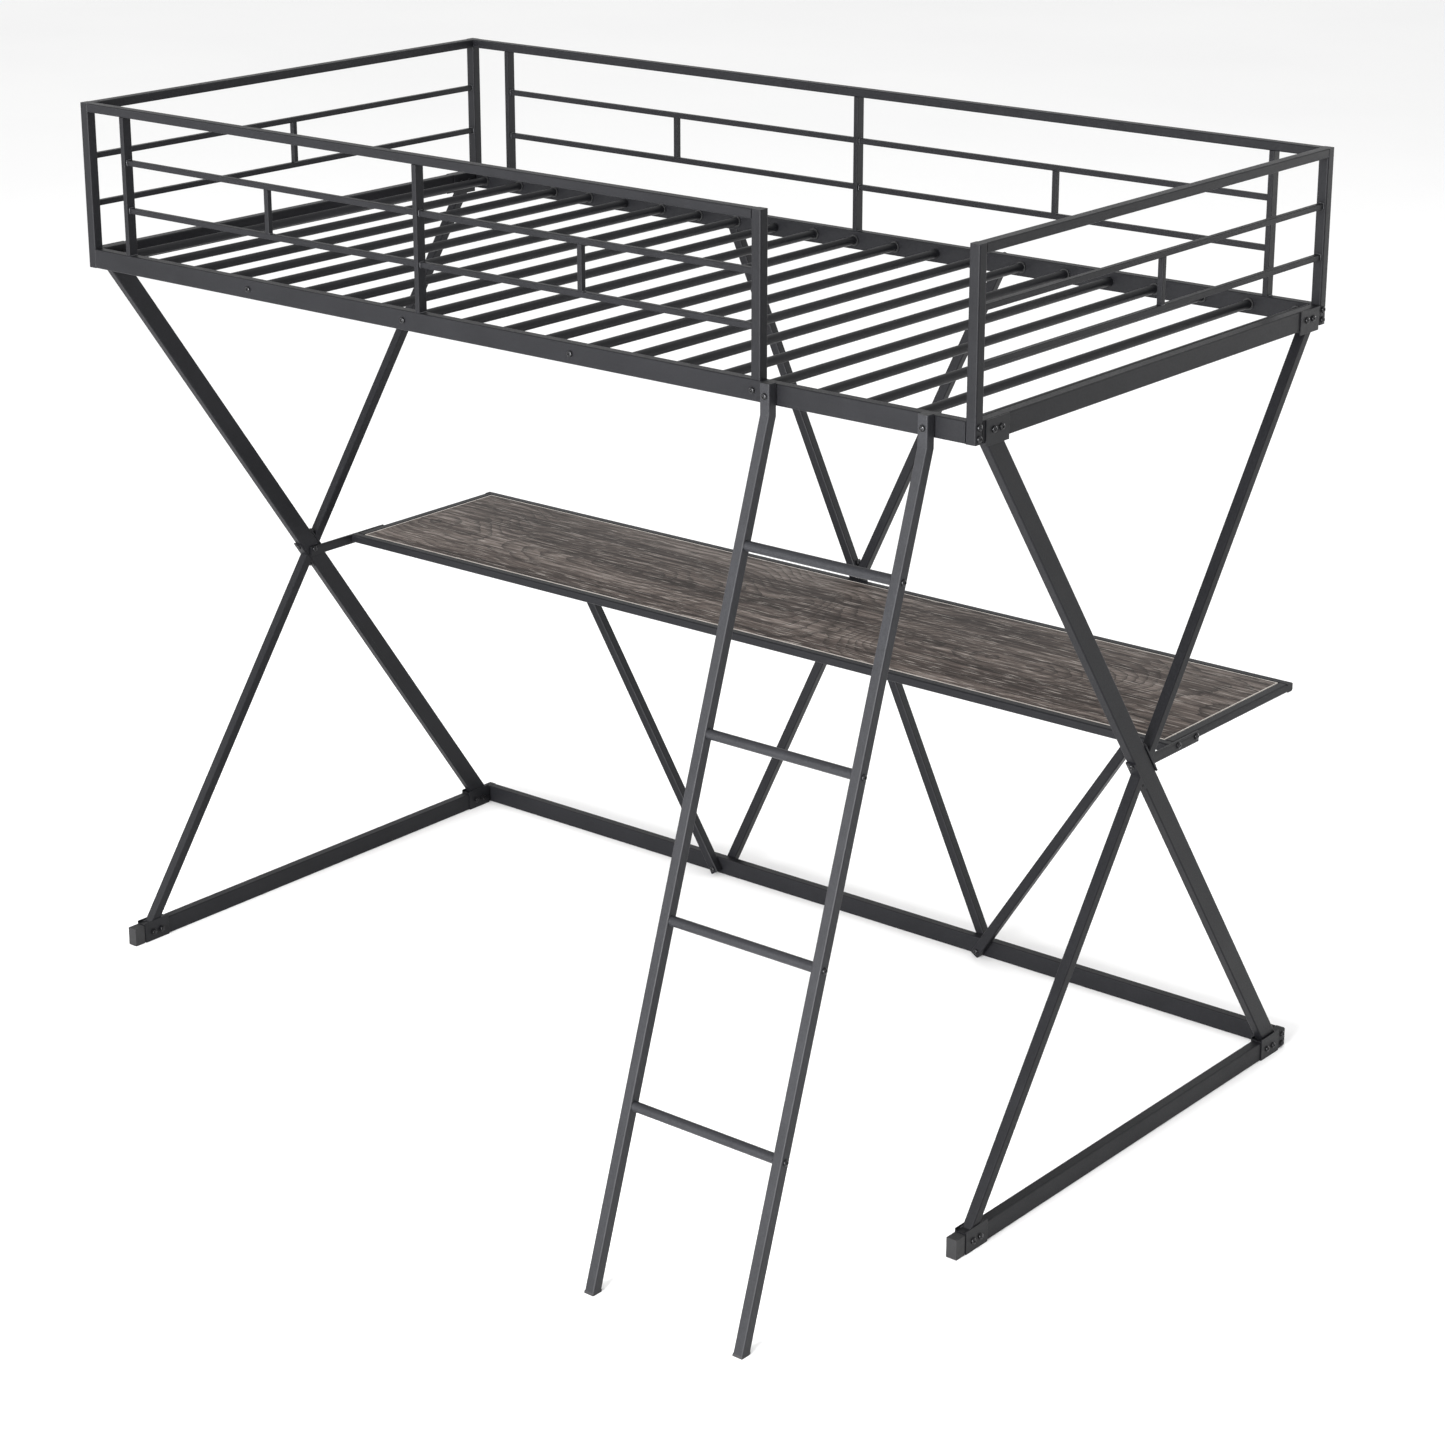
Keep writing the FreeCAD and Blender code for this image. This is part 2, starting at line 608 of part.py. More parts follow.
    # The deep through beam runs from the top front to the bottom back. The other diagonal is
    # in two halves, whose flanges bolt to the through beam's narrow sides.
    envelope_bottom = "(dims.rail_height + dims.plate_thickness)"
    envelope_top = "(%s - dims.plate_thickness)" % RAIL_BOTTOM
    envelope_x = "0" if side == "left" else TUBE
    centre_y = depth("dims.frame_width / 2")
    beam_x = across(side, "dims.tube_width - dims.beam_thickness / 2")
    long_run = "2 * hypot(%s; %s)" % (BEAM_RUN, BEAM_RISE)
    cross_bolts = []
    for sign in ("+", "-"):
        drop = "(dims.beam_depth / 2 + dims.flange_thickness)"
        y = "%s - %s * cos(%s) %s dims.flange_bolt_offset * sin(%s)" % (
            centre_y, drop, BEAM_ANGLE, "-" if sign == "+" else "+", BEAM_ANGLE)
        z = "%s - %s * sin(%s) %s dims.flange_bolt_offset * cos(%s)" % (
            CROSS_HEIGHT, drop, BEAM_ANGLE, sign, BEAM_ANGLE)
        cross_bolts.append(bolt(
            "%s_cross_bolt_%s" % (side, "upper" if sign == "+" else "lower"), "beam",
            TILT_X, x, y, z, "90 deg + " + BEAM_ANGLE))
    arm_x = across(side, DESK_INSET)
    inward = "+X" if side == "left" else "-X"
    arm_bolt = bolt(side + "_arm_bolt", "short", inward, arm_x, centre_y, CROSS_HEIGHT)

    def envelope(tag):
        return box("%s_%s_envelope" % (side, tag), TUBE, "dims.frame_width",
                   "%s - %s" % (envelope_top, envelope_bottom),
                   across(side, envelope_x), depth("0"), envelope_bottom)

    blank = run(side + "_through_beam_blank", BEAM, long_run, beam_x, centre_y, CROSS_HEIGHT,
                TILT_X, BEAM_ANGLE, centred=True)
    trimmed = common(side + "_through_beam_trimmed", blank, envelope("through"))
    node(side + "_through_beam",
         [drilled(side + "_through_beam_body", trimmed, cross_bolts + [arm_bolt])])
    notch_section = solid_profile(side + "_notch_section", "2 * dims.tube_width",
                                  "dims.beam_depth + 2 * dims.flange_thickness")
    for half, turn, sign in (("upper", "-" + BEAM_ANGLE, "+"),
                             ("lower", "180 deg - " + BEAM_ANGLE, "-")):
        blank = run("%s_%s_half_blank" % (side, half), SQUARE, long_run + " / 2",
                    x, centre_y, CROSS_HEIGHT, TILT_X, turn)
        notch = run("%s_%s_half_notch" % (side, half), notch_section, "dims.flange_length * 2",
                    x, centre_y, CROSS_HEIGHT, TILT_X, BEAM_ANGLE, centred=True)
        trimmed = common("%s_%s_half_trimmed" % (side, half), blank, envelope(half))
        tube = cut("%s_%s_half_tube" % (side, half), trimmed, notch)
        offset = "(dims.beam_depth + dims.flange_thickness) / 2"
        plate = run("%s_%s_half_plate" % (side, half), FLANGE, "dims.flange_length",
                    x, "%s %s %s * cos(%s)" % (centre_y, sign, offset, BEAM_ANGLE),
                    "%s %s %s * sin(%s)" % (CROSS_HEIGHT, sign, offset, BEAM_ANGLE),
                    TILT_X, BEAM_ANGLE, centred=True)
        node("%s_%s_half_beam" % (side, half),
             [tube, drilled("%s_%s_half_flange" % (side, half), plate, cross_bolts)])
    CROSS_BOLTS += cross_bolts

    # Desk arm: a flat bar from the through beam to the desk's end rail.
    desk_front = "dims.frame_width - dims.desk_depth"
    arm_start = "dims.frame_width / 2 - dims.arm_height / 2"
    arm_length = "(%s + dims.arm_overlap) - (%s)" % (desk_front, arm_start)
    bar = run(side + "_desk_arm_bar", ARM, arm_length,
              across(side, "dims.tube_width + dims.arm_thickness / 2"), depth(arm_start),
              "dims.desk_height - dims.arm_height / 2", TO_Y)
    desk_bolts = []
    for index, inset in ((1, "dims.tube_width + dims.arm_bolt_rise"),
                         (2, "dims.arm_overlap - dims.arm_bolt_rise")):
        desk_bolts.append(bolt("%s_desk_bolt_%d" % (side, index), "short", OUTWARD[side],
                               across(side, TUBE), depth("%s + %s" % (desk_front, inset)),
                               "%s + dims.desk_rim_height / 2" % DESK_BOTTOM))
    node(side + "_desk_arm", [drilled(side + "_desk_arm_body", bar, [arm_bolt] + desk_bolts)])
    RAIL_END_BOLTS["desk", side] = desk_bolts
    RAIL_END_BOLTS["arm", side] = [arm_bolt]

node("saddle_brackets", BRACKETS)
node("saddle_bolts", heads(SADDLE_BOLTS))
node("cross_bolts", heads(CROSS_BOLTS))
node("slat_bolts", heads(SLAT_BOLTS["front"] + SLAT_BOLTS["back"]))
node("corner_bolts", heads(CORNER_BOLTS))

# ---------------------------------------------------------------------------------------
# Floor rail along the back, with the lower ends of the back and desk braces bolted to it.

DESK_BRACE_BOLTS = {}
for side, sign in (("left", "-"), ("right", "")):
    DESK_BRACE_BOLTS[side] = bolt(
        "desk_brace_foot_bolt_" + side, "deep", "-Y", sign + "dims.desk_brace_foot",
        depth("dims.frame_width - 2 * dims.tube_width"), "dims.desk_brace_bolt_height")
tube = run("back_floor_rail_tube", RAIL, INNER_LENGTH, along(TUBE), depth(RAIL_Y["back"]),
           "dims.rail_height / 2", TO_X)
through = [BACK_BRACE_BOLTS["bottom_left"], BACK_BRACE_BOLTS["bottom_right"],
           DESK_BRACE_BOLTS["left"], DESK_BRACE_BOLTS["right"]]
body = drilled("back_floor_rail_body", tube, through)
ends = {side: RAIL_END_BOLTS["floor", side] for side in ("left", "right")}
node("back_floor_rail", [body] + end_plugs("back_floor_rail", RAIL_BORE, ends,
                                           depth(RAIL_Y["back"]), "dims.rail_height / 2"))

# Plastic caps on the front ends of the end floor rails, and plugs in their back ends.
CAPS = []
for side in ("left", "right"):
    block = box(side + "_cap_block", "dims.tube_width + 2 * dims.cap_proud", "dims.cap_length",
                "dims.rail_height + dims.cap_proud",
                across(side, "-dims.cap_proud" if side == "left"
                       else "dims.tube_width + dims.cap_proud"), depth("0"), "0")
    stem = run(side + "_cap_stem", RAIL_PLUG, "dims.cap_plug", across(side, HALF_TUBE),
               depth("dims.cap_length"), "dims.rail_height / 2", TO_Y)
    CAPS.append(fuse(side + "_foot_cap", [block, stem]))
    CAPS.append(run(side + "_back_plug", RAIL_PLUG, "dims.plug_thickness",
                    across(side, HALF_TUBE), depth("dims.frame_width - dims.plug_thickness"),
                    "dims.rail_height / 2", TO_Y))
node("floor_rail_caps", CAPS)

# ---------------------------------------------------------------------------------------
# Front and back guards on the side rails.

ENTRY_LEFT = "(dims.bed_length - dims.tube_width - dims.entry_width - dims.tube_width)"
FIRST_UPRIGHT = "(dims.tube_width + dims.upright_inset)"
BAR_HALF = "dims.bar_width / 2"


def guard(row, end, last_face, uprights):
    """A guard's welded tubes: top rail, uprights, and thin bars with a spacer in each bay."""
    y = depth(RAIL_Y[row])
    tubes = [run(row + "_guard_top_rail", TOP_RAIL, "%s - dims.tube_width" % end, along(TUBE), y,
                 "dims.overall_height - dims.top_rail_height / 2", TO_X)]
    for index, x in enumerate(uprights, start=1):
        tubes.append(run("%s_guard_upright_%d" % (row, index), UPRIGHT, GUARD_OPENING,
                         along(x), y, "dims.rail_top"))
    faces = ["%s + %s" % (x, BAR_HALF) for x in uprights]
    stops = ["%s - %s" % (x, BAR_HALF) for x in uprights[1:]]
    if last_face is not None:
        stops.append(last_face)
    for bay, (start, stop) in enumerate(zip(faces, stops), start=1):
        for index in (1, 2):
            z = "dims.rail_top + %d * %s + (%d - 0.5) * dims.bar_width" % (index, BAR_GAP, index)
            tubes.append(run("%s_guard_bar_%d_%d" % (row, bay, index), BAR,
                             "(%s) - (%s)" % (stop, start), along(start), y, z, TO_X))
        tubes.append(run("%s_guard_spacer_%d" % (row, bay), BAR, BAR_GAP,
                         along("((%s) + (%s)) / 2" % (start, stop)), y,
                         "dims.rail_top + %s + dims.bar_width" % BAR_GAP))
    return tubes


middle = "(%s + %s + dims.tube_width / 2) / 2" % (FIRST_UPRIGHT, ENTRY_LEFT)
frame = guard("front", ENTRY_LEFT, ENTRY_LEFT, [FIRST_UPRIGHT, middle])
post_x = along("%s + dims.tube_width / 2" % ENTRY_LEFT)
frame.append(run("front_guard_end_post", SQUARE, "dims.overall_height - dims.rail_top",
                 post_x, depth(HALF_TUBE), "dims.rail_top"))
frame.append(run("front_guard_end_post_top", SQUARE_BORE, "dims.plate_thickness",
                 post_x, depth(HALF_TUBE), "dims.overall_height - dims.plate_thickness"))
node("front_guard", frame)
node("back_guard", guard("back", "dims.bed_length - dims.tube_width", None,
                         [FIRST_UPRIGHT, "dims.bed_length / 2",
                          "dims.bed_length - %s" % FIRST_UPRIGHT]))

# ---------------------------------------------------------------------------------------
# Back cross brace between the back side rail and the back floor rail: one whole tube, and a
# second one in two halves whose flanges bolt to it.

brace_y = depth("dims.frame_width + dims.tube_width / 2")
brace_length = "(hypot(dims.brace_top_spread; %s) + 2 * dims.brace_end_margin)" % BRACE_RISE
flange_bolts = []
for sign, other in (("+", "-"), ("-", "+")):
    drop = "(dims.tube_width / 2 + dims.flange_thickness)"
    flange_bolts.append(bolt(
        "back_cross_bolt_" + ("upper" if sign == "+" else "lower"), "brace", TILT_Y,
        "-%s * cos(%s) %s dims.brace_bolt_offset * sin(%s)" % (
            drop, BRACE_ANGLE, other, BRACE_ANGLE),
        brace_y,
        "%s - %s * sin(%s) %s dims.brace_bolt_offset * cos(%s)" % (
            BRACE_HEIGHT, drop, BRACE_ANGLE, sign, BRACE_ANGLE),
        "-90 deg - " + BRACE_ANGLE))
tube = run("back_brace_tube", SQUARE, brace_length, "0", brace_y, BRACE_HEIGHT,
           TILT_Y, "-" + BRACE_ANGLE, centred=True)
whole = [BACK_BRACE_BOLTS["top_left"], BACK_BRACE_BOLTS["bottom_right"]]
node("back_brace", [drilled("back_brace_body", tube, flange_bolts + whole)])
notch_section = solid_profile("brace_notch_section",
                              "dims.tube_width + 2 * dims.flange_thickness",
                              "2 * dims.tube_width")
for half, turn, sign, end in (("upper", BRACE_ANGLE, "+", "top_right"),
                              ("lower", "180 deg + " + BRACE_ANGLE, "-", "bottom_left")):
    blank = run("back_brace_%s_blank" % half, SQUARE, brace_length + " / 2", "0", brace_y,
                BRACE_HEIGHT, TILT_Y, turn)
    notch = run("back_brace_%s_notch" % half, notch_section, "dims.brace_flange_length * 2",
                "0", brace_y, BRACE_HEIGHT, TILT_Y, "-" + BRACE_ANGLE, centred=True)
    tube = drilled("back_brace_%s_tube" % half, cut("back_brace_%s_cut" % half, blank, notch),
                   [BACK_BRACE_BOLTS[end]])
    offset = "(dims.tube_width + dims.flange_thickness) / 2"
    plate = run("back_brace_%s_plate" % half, BRACE_FLANGE, "dims.brace_flange_length",
                "%s %s * cos(%s)" % ("" if sign == "+" else "-", offset, BRACE_ANGLE), brace_y,
                "%s %s %s * sin(%s)" % (BRACE_HEIGHT, sign, offset, BRACE_ANGLE),
                TILT_Y, "-" + BRACE_ANGLE, centred=True)
    node("back_brace_%s_half" % half,
         [tube, drilled("back_brace_%s_flange" % half, plate, flange_bolts)])
for end, sign_x, turn in (("top_left", "-", "-" + BRACE_ANGLE),
                          ("bottom_right", "", "180 deg - " + BRACE_ANGLE),
                          ("top_right", "", BRACE_ANGLE),
                          ("bottom_left", "-", "180 deg + " + BRACE_ANGLE)):
    reach = "(%s / 2 - dims.plug_thickness)" % brace_length
    up = "+" if end.startswith("top") else "-"
    TUBE_PLUGS.append(run(
        "back_brace_plug_" + end, SQUARE_PLUG, "dims.plug_thickness",
        "%s%s * sin(%s)" % (sign_x, reach, BRACE_ANGLE), brace_y,
        "%s %s %s * cos(%s)" % (BRACE_HEIGHT, up, reach, BRACE_ANGLE), TILT_Y, turn))

# ---------------------------------------------------------------------------------------
# Desk: tube rim, two flat supports, board, and a sloping brace under each half.

rim_x = "dims.desk_height - dims.desk_rim_height / 2"
desk_length = "(dims.bed_length - 2 * %s)" % DESK_INSET
desk_front = "(dims.frame_width - dims.desk_depth)"
TAB_BOLTS = {}
for side, sign in (("left", "-"), ("right", "")):
    TAB_BOLTS[side] = bolt("desk_brace_tab_bolt_" + side, "short", "-Z",
                           sign + "dims.desk_brace_head", depth(RAIL_Y["back"]),
                           "%s - dims.flange_thickness" % DESK_BOTTOM)
pieces = []
for row, y in (("front", "%s + dims.tube_width / 2" % desk_front), ("back", RAIL_Y["back"])):
    rim = run("desk_%s_rim_tube" % row, DESK_RIM, desk_length, along(DESK_INSET), depth(y),
              rim_x, TO_X)
    if row == "back":
        rim = drilled("desk_back_rim", rim, [TAB_BOLTS["left"], TAB_BOLTS["right"]])
    pieces.append(rim)
    for side in ("left", "right"):
        start = DESK_INSET if side == "left" else "%s + dims.plate_thickness" % DESK_INSET
        pieces.append(run("desk_%s_rim_%s_plate" % (row, side), DESK_BORE,
                          "dims.plate_thickness", across(side, start), depth(y), rim_x, TO_X))
for side in ("left", "right"):
    rim = run("desk_%s_rim_tube" % side, DESK_RIM, "dims.desk_depth - 2 * dims.tube_width",
              across(side, "%s + dims.tube_width / 2" % DESK_INSET),
              depth("%s + dims.tube_width" % desk_front), rim_x, TO_Y)
    pieces.append(drilled("desk_%s_rim" % side, rim, RAIL_END_BOLTS["desk", side]))
board_z = "(dims.desk_height - dims.board_reveal - dims.board_thickness)"
for index, place_x in ((1, "-dims.bed_length / 5"), (2, "dims.bed_length / 5")):
    pieces.append(box("desk_support_%d" % index, "dims.support_width",
                      "dims.desk_depth - 2 * dims.tube_width",
                      "%s - %s" % (board_z, DESK_BOTTOM),
                      "%s - dims.support_width / 2" % place_x,
                      depth("%s + dims.tube_width" % desk_front), DESK_BOTTOM))
node("desk_frame", pieces)
node("desk_board", [box("desk_board_panel", "%s - 2 * dims.tube_width" % desk_length,
                        "dims.desk_depth - 2 * dims.tube_width", "dims.board_thickness",
                        along("%s + dims.tube_width" % DESK_INSET),
                        depth("%s + dims.tube_width" % desk_front), board_z)])

tab_bottom = "(%s - dims.flange_thickness)" % DESK_BOTTOM
lean_run = "(dims.desk_brace_head - dims.desk_brace_foot)"
lean_rise = "(%s - dims.desk_brace_bolt_height)" % tab_bottom
lean = "atan2(%s; %s)" % (lean_run, lean_rise)
lean_length = "(hypot(%s; %s) + dims.desk_brace_margin + dims.tube_width)" % (lean_run, lean_rise)
lean_y = depth("dims.frame_width - 1.5 * dims.tube_width")
for side, sign, turn in (("left", "-", "-" + lean), ("right", "", lean)):
    foot_x = "%s(dims.desk_brace_foot - dims.desk_brace_margin * sin(%s))" % (sign, lean)
    foot_z = "dims.desk_brace_bolt_height - dims.desk_brace_margin * cos(%s)" % lean
    blank = run(side + "_desk_brace_blank", SQUARE, lean_length, foot_x, lean_y, foot_z,
                TILT_Y, turn)
    above = box(side + "_desk_brace_above", "dims.bed_length", "2 * dims.tube_width",
                "2 * dims.tube_width", along("0"),
                depth("dims.frame_width - 2.5 * dims.tube_width"), tab_bottom)
    tube = drilled(side + "_desk_brace_tube",
                   cut(side + "_desk_brace_cut", blank, above), [DESK_BRACE_BOLTS[side]])
    tab = box(side + "_desk_brace_tab", "dims.tab_length", "2 * dims.tube_width",
              "dims.flange_thickness", "%sdims.desk_brace_head - dims.tab_length / 2" % sign,
              depth("dims.frame_width - 2 * dims.tube_width"), tab_bottom)
    node(side + "_desk_brace",
         [tube, drilled(side + "_desk_brace_tab_plate", tab, [TAB_BOLTS[side]])])
    TUBE_PLUGS.append(run(side + "_desk_brace_plug", SQUARE_PLUG, "dims.plug_thickness",
                          foot_x, lean_y, foot_z, TILT_Y, turn))
node("brace_bolts", heads(list(BACK_BRACE_BOLTS.values()) + flange_bolts
                          + list(DESK_BRACE_BOLTS.values()) + list(TAB_BOLTS.values())))
node("desk_bolts", heads([made for side in ("left", "right")
                          for made in RAIL_END_BOLTS["desk", side] + RAIL_END_BOLTS["arm", side]]))

# ---------------------------------------------------------------------------------------
# Ladder: two bent stiles hung on the front side rail, and round rungs bolted between them.

RUNG_BOLTS = {"left": [], "right": []}
slope = "((dims.ladder_reach - dims.tube_width) / dims.ladder_bend)"


def rung_y(z):
    """Depth of the middle of a stile at a height below the bend."""
    return "-dims.tube_width - (dims.ladder_bend - (%s)) * %s + dims.tube_width / 2 / cos(%s)" % (
        z, slope, LADDER_ANGLE)


for index in range(RUNG_COUNT):
    z = "dims.first_rung + %d * dims.rung_pitch" % index
    for side, face in (("left", "-"), ("right", "+")):
        RUNG_BOLTS[side].append(bolt(
            "rung_%d_bolt_%s" % (index + 1, side), "deep", face + "X",
            along("%s %s dims.tube_width / 2" % (LADDER_STILES[side], face)),
            depth(rung_y(z)), z))
for index in range(RUNG_COUNT):
    z = "dims.first_rung + %d * dims.rung_pitch" % index
    start = "%s + dims.tube_width / 2" % LADDER_STILES["left"]
    span = "(dims.ladder_width - 2 * dims.tube_width)"
    name = "ladder_rung_%d" % (index + 1)
    outer = cylinder(name + "_outer", "dims.rung_diameter / 2", span, along(start),
                     depth(rung_y(z)), z, FACING["+X"])
    inner = cylinder(name + "_bore", "dims.rung_diameter / 2 - dims.rung_wall",
                     "%s - 2 * dims.threaded_end" % span, along(start + " + dims.threaded_end"),
                     depth(rung_y(z)), z, FACING["+X"])
    ends = [RUNG_BOLTS["left"][index], RUNG_BOLTS["right"][index]]
    node(name, [drilled(name + "_threaded", cut(name + "_tube", outer, inner), ends)])

bend_reach = "(4 * dims.tube_width)"
slope_length = "(dims.ladder_bend / cos(%s) + dims.tube_width)" % LADDER_ANGLE
STILE_CAPS = []
for side in ("left", "right"):
    x = along(LADDER_STILES[side])
    # The two straight runs pass the bend and are trimmed on its mitre plane.
    upright = run(side + "_stile_upright", SQUARE,
                  "dims.ladder_top - dims.ladder_bend + dims.tube_width",
                  x, depth("-dims.tube_width / 2"), "dims.ladder_bend - dims.tube_width")
    foot_y = depth("-dims.ladder_reach - dims.tube_width * sin(%s) + dims.tube_width / 2"
                   " * cos(%s)" % (LADDER_ANGLE, LADDER_ANGLE))
    foot_z = "-dims.tube_width / 2 * sin(%s) - dims.tube_width * cos(%s)" % (
        LADDER_ANGLE, LADDER_ANGLE)
    lean_run = "(%s + 2 * dims.tube_width)" % slope_length

    def sloping(tag, section):
        return run("%s_stile_%s" % (side, tag), section, lean_run, x, foot_y, foot_z,
                   TILT_X, "-" + LADDER_ANGLE)

    solid_section = solid_profile(side + "_stile_solid_section", TUBE, TUBE)
    wide_section = solid_profile(side + "_stile_mitre_section", "2 * dims.tube_width",
                                 "6 * dims.tube_width")
    lower_mask = run(side + "_stile_lower_mask", wide_section, bend_reach, x,
                     depth("-dims.tube_width"), "dims.ladder_bend", TILT_X,
                     "180 deg - %s / 2" % LADDER_ANGLE)
    upper_mask = run(side + "_stile_upper_mask", wide_section, bend_reach, x,
                     depth("-dims.tube_width"), "dims.ladder_bend", TILT_X,
                     "-%s / 2" % LADDER_ANGLE)
    top_run = cut(side + "_stile_top_run", upright, lower_mask)
    ground = box(side + "_stile_ground", "2 * dims.tube_width", "6 * dims.tube_width",
                 "2 * dims.tube_width + dims.plug_thickness",
                 along("%s - dims.tube_width" % LADDER_STILES[side]),
                 depth("-dims.ladder_reach - 3 * dims.tube_width"), "-2 * dims.tube_width")
    low_run = cut(side + "_stile_low_run",
                  cut(side + "_stile_low_mitred", sloping("slope", SQUARE), upper_mask), ground)
    whole = fuse(side + "_stile_whole", [top_run, low_run])
    mine = RUNG_BOLTS[side] + [LADDER_TOP_BOLTS[side]]
    node("ladder_%s_stile" % side, [drilled(side + "_stile_body", whole, mine)])
    pad = box(side + "_stile_pad", "2 * dims.tube_width", "6 * dims.tube_width",
              "dims.plug_thickness", along("%s - dims.tube_width" % LADDER_STILES[side]),
              depth("-dims.ladder_reach - 3 * dims.tube_width"), "0")
    STILE_CAPS.append(common(side + "_stile_foot", sloping("foot_blank", solid_section), pad))
    STILE_CAPS.append(run(side + "_stile_top_plug", SQUARE_PLUG, "dims.plug_thickness",
                          x, depth("-dims.tube_width / 2"),
                          "dims.ladder_top - dims.plug_thickness"))
node("ladder_caps", STILE_CAPS)
node("ladder_bolts", heads(RUNG_BOLTS["left"] + RUNG_BOLTS["right"]
                           + [LADDER_TOP_BOLTS["left"], LADDER_TOP_BOLTS["right"]]))
node("tube_plugs", TUBE_PLUGS)

# ---------------------------------------------------------------------------------------
doc.recompute()
for piece in doc.Objects:
    for fault in ("Invalid", "Error"):
        if fault in piece.State:
            raise RuntimeError("%s is %s" % (piece.Label, fault))
for name, piece in NODES.items():
    if piece.Shape.isNull() or not piece.Shape.isValid() or not piece.Shape.Solids:
        raise RuntimeError("%s has no valid shape" % name)

os.makedirs("parts", exist_ok=True)
for name, piece in NODES.items():
    piece.Shape.exportStep(os.path.join("parts", name + ".step"))
print("wrote %d sub-parts" % len(NODES))
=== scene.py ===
import itertools
import json
import math

import bmesh
import bpy
import numpy as np
from mathutils import Matrix, Vector, noise

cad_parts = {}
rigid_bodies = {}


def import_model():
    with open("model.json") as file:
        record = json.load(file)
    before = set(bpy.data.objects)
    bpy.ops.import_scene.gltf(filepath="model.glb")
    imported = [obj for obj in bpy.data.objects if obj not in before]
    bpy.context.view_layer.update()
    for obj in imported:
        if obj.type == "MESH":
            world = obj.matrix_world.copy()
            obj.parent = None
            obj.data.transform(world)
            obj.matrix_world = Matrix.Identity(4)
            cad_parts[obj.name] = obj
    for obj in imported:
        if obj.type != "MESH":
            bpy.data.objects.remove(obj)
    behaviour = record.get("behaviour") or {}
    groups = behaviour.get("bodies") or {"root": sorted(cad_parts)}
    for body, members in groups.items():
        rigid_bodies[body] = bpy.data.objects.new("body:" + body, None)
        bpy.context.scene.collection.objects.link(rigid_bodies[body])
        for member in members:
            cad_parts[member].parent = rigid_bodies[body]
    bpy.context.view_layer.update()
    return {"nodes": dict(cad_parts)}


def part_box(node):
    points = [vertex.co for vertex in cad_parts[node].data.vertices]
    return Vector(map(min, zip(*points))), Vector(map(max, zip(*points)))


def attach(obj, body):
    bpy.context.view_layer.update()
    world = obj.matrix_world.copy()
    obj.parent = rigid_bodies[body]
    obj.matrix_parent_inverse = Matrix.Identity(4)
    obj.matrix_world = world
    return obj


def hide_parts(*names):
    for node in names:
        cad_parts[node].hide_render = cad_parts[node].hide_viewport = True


for leftover in list(bpy.data.objects):
    bpy.data.objects.remove(leftover, do_unlink=True)
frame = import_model()
NODES = frame["nodes"]
MM = 0.001
SOCKETS = {
    "colour": "Base Color",
    "metallic": "Metallic",
    "roughness": "Roughness",
    "normal": "Normal",
    "specular": "Specular IOR Level",
}


# ------------------------------------------------------------------ materials

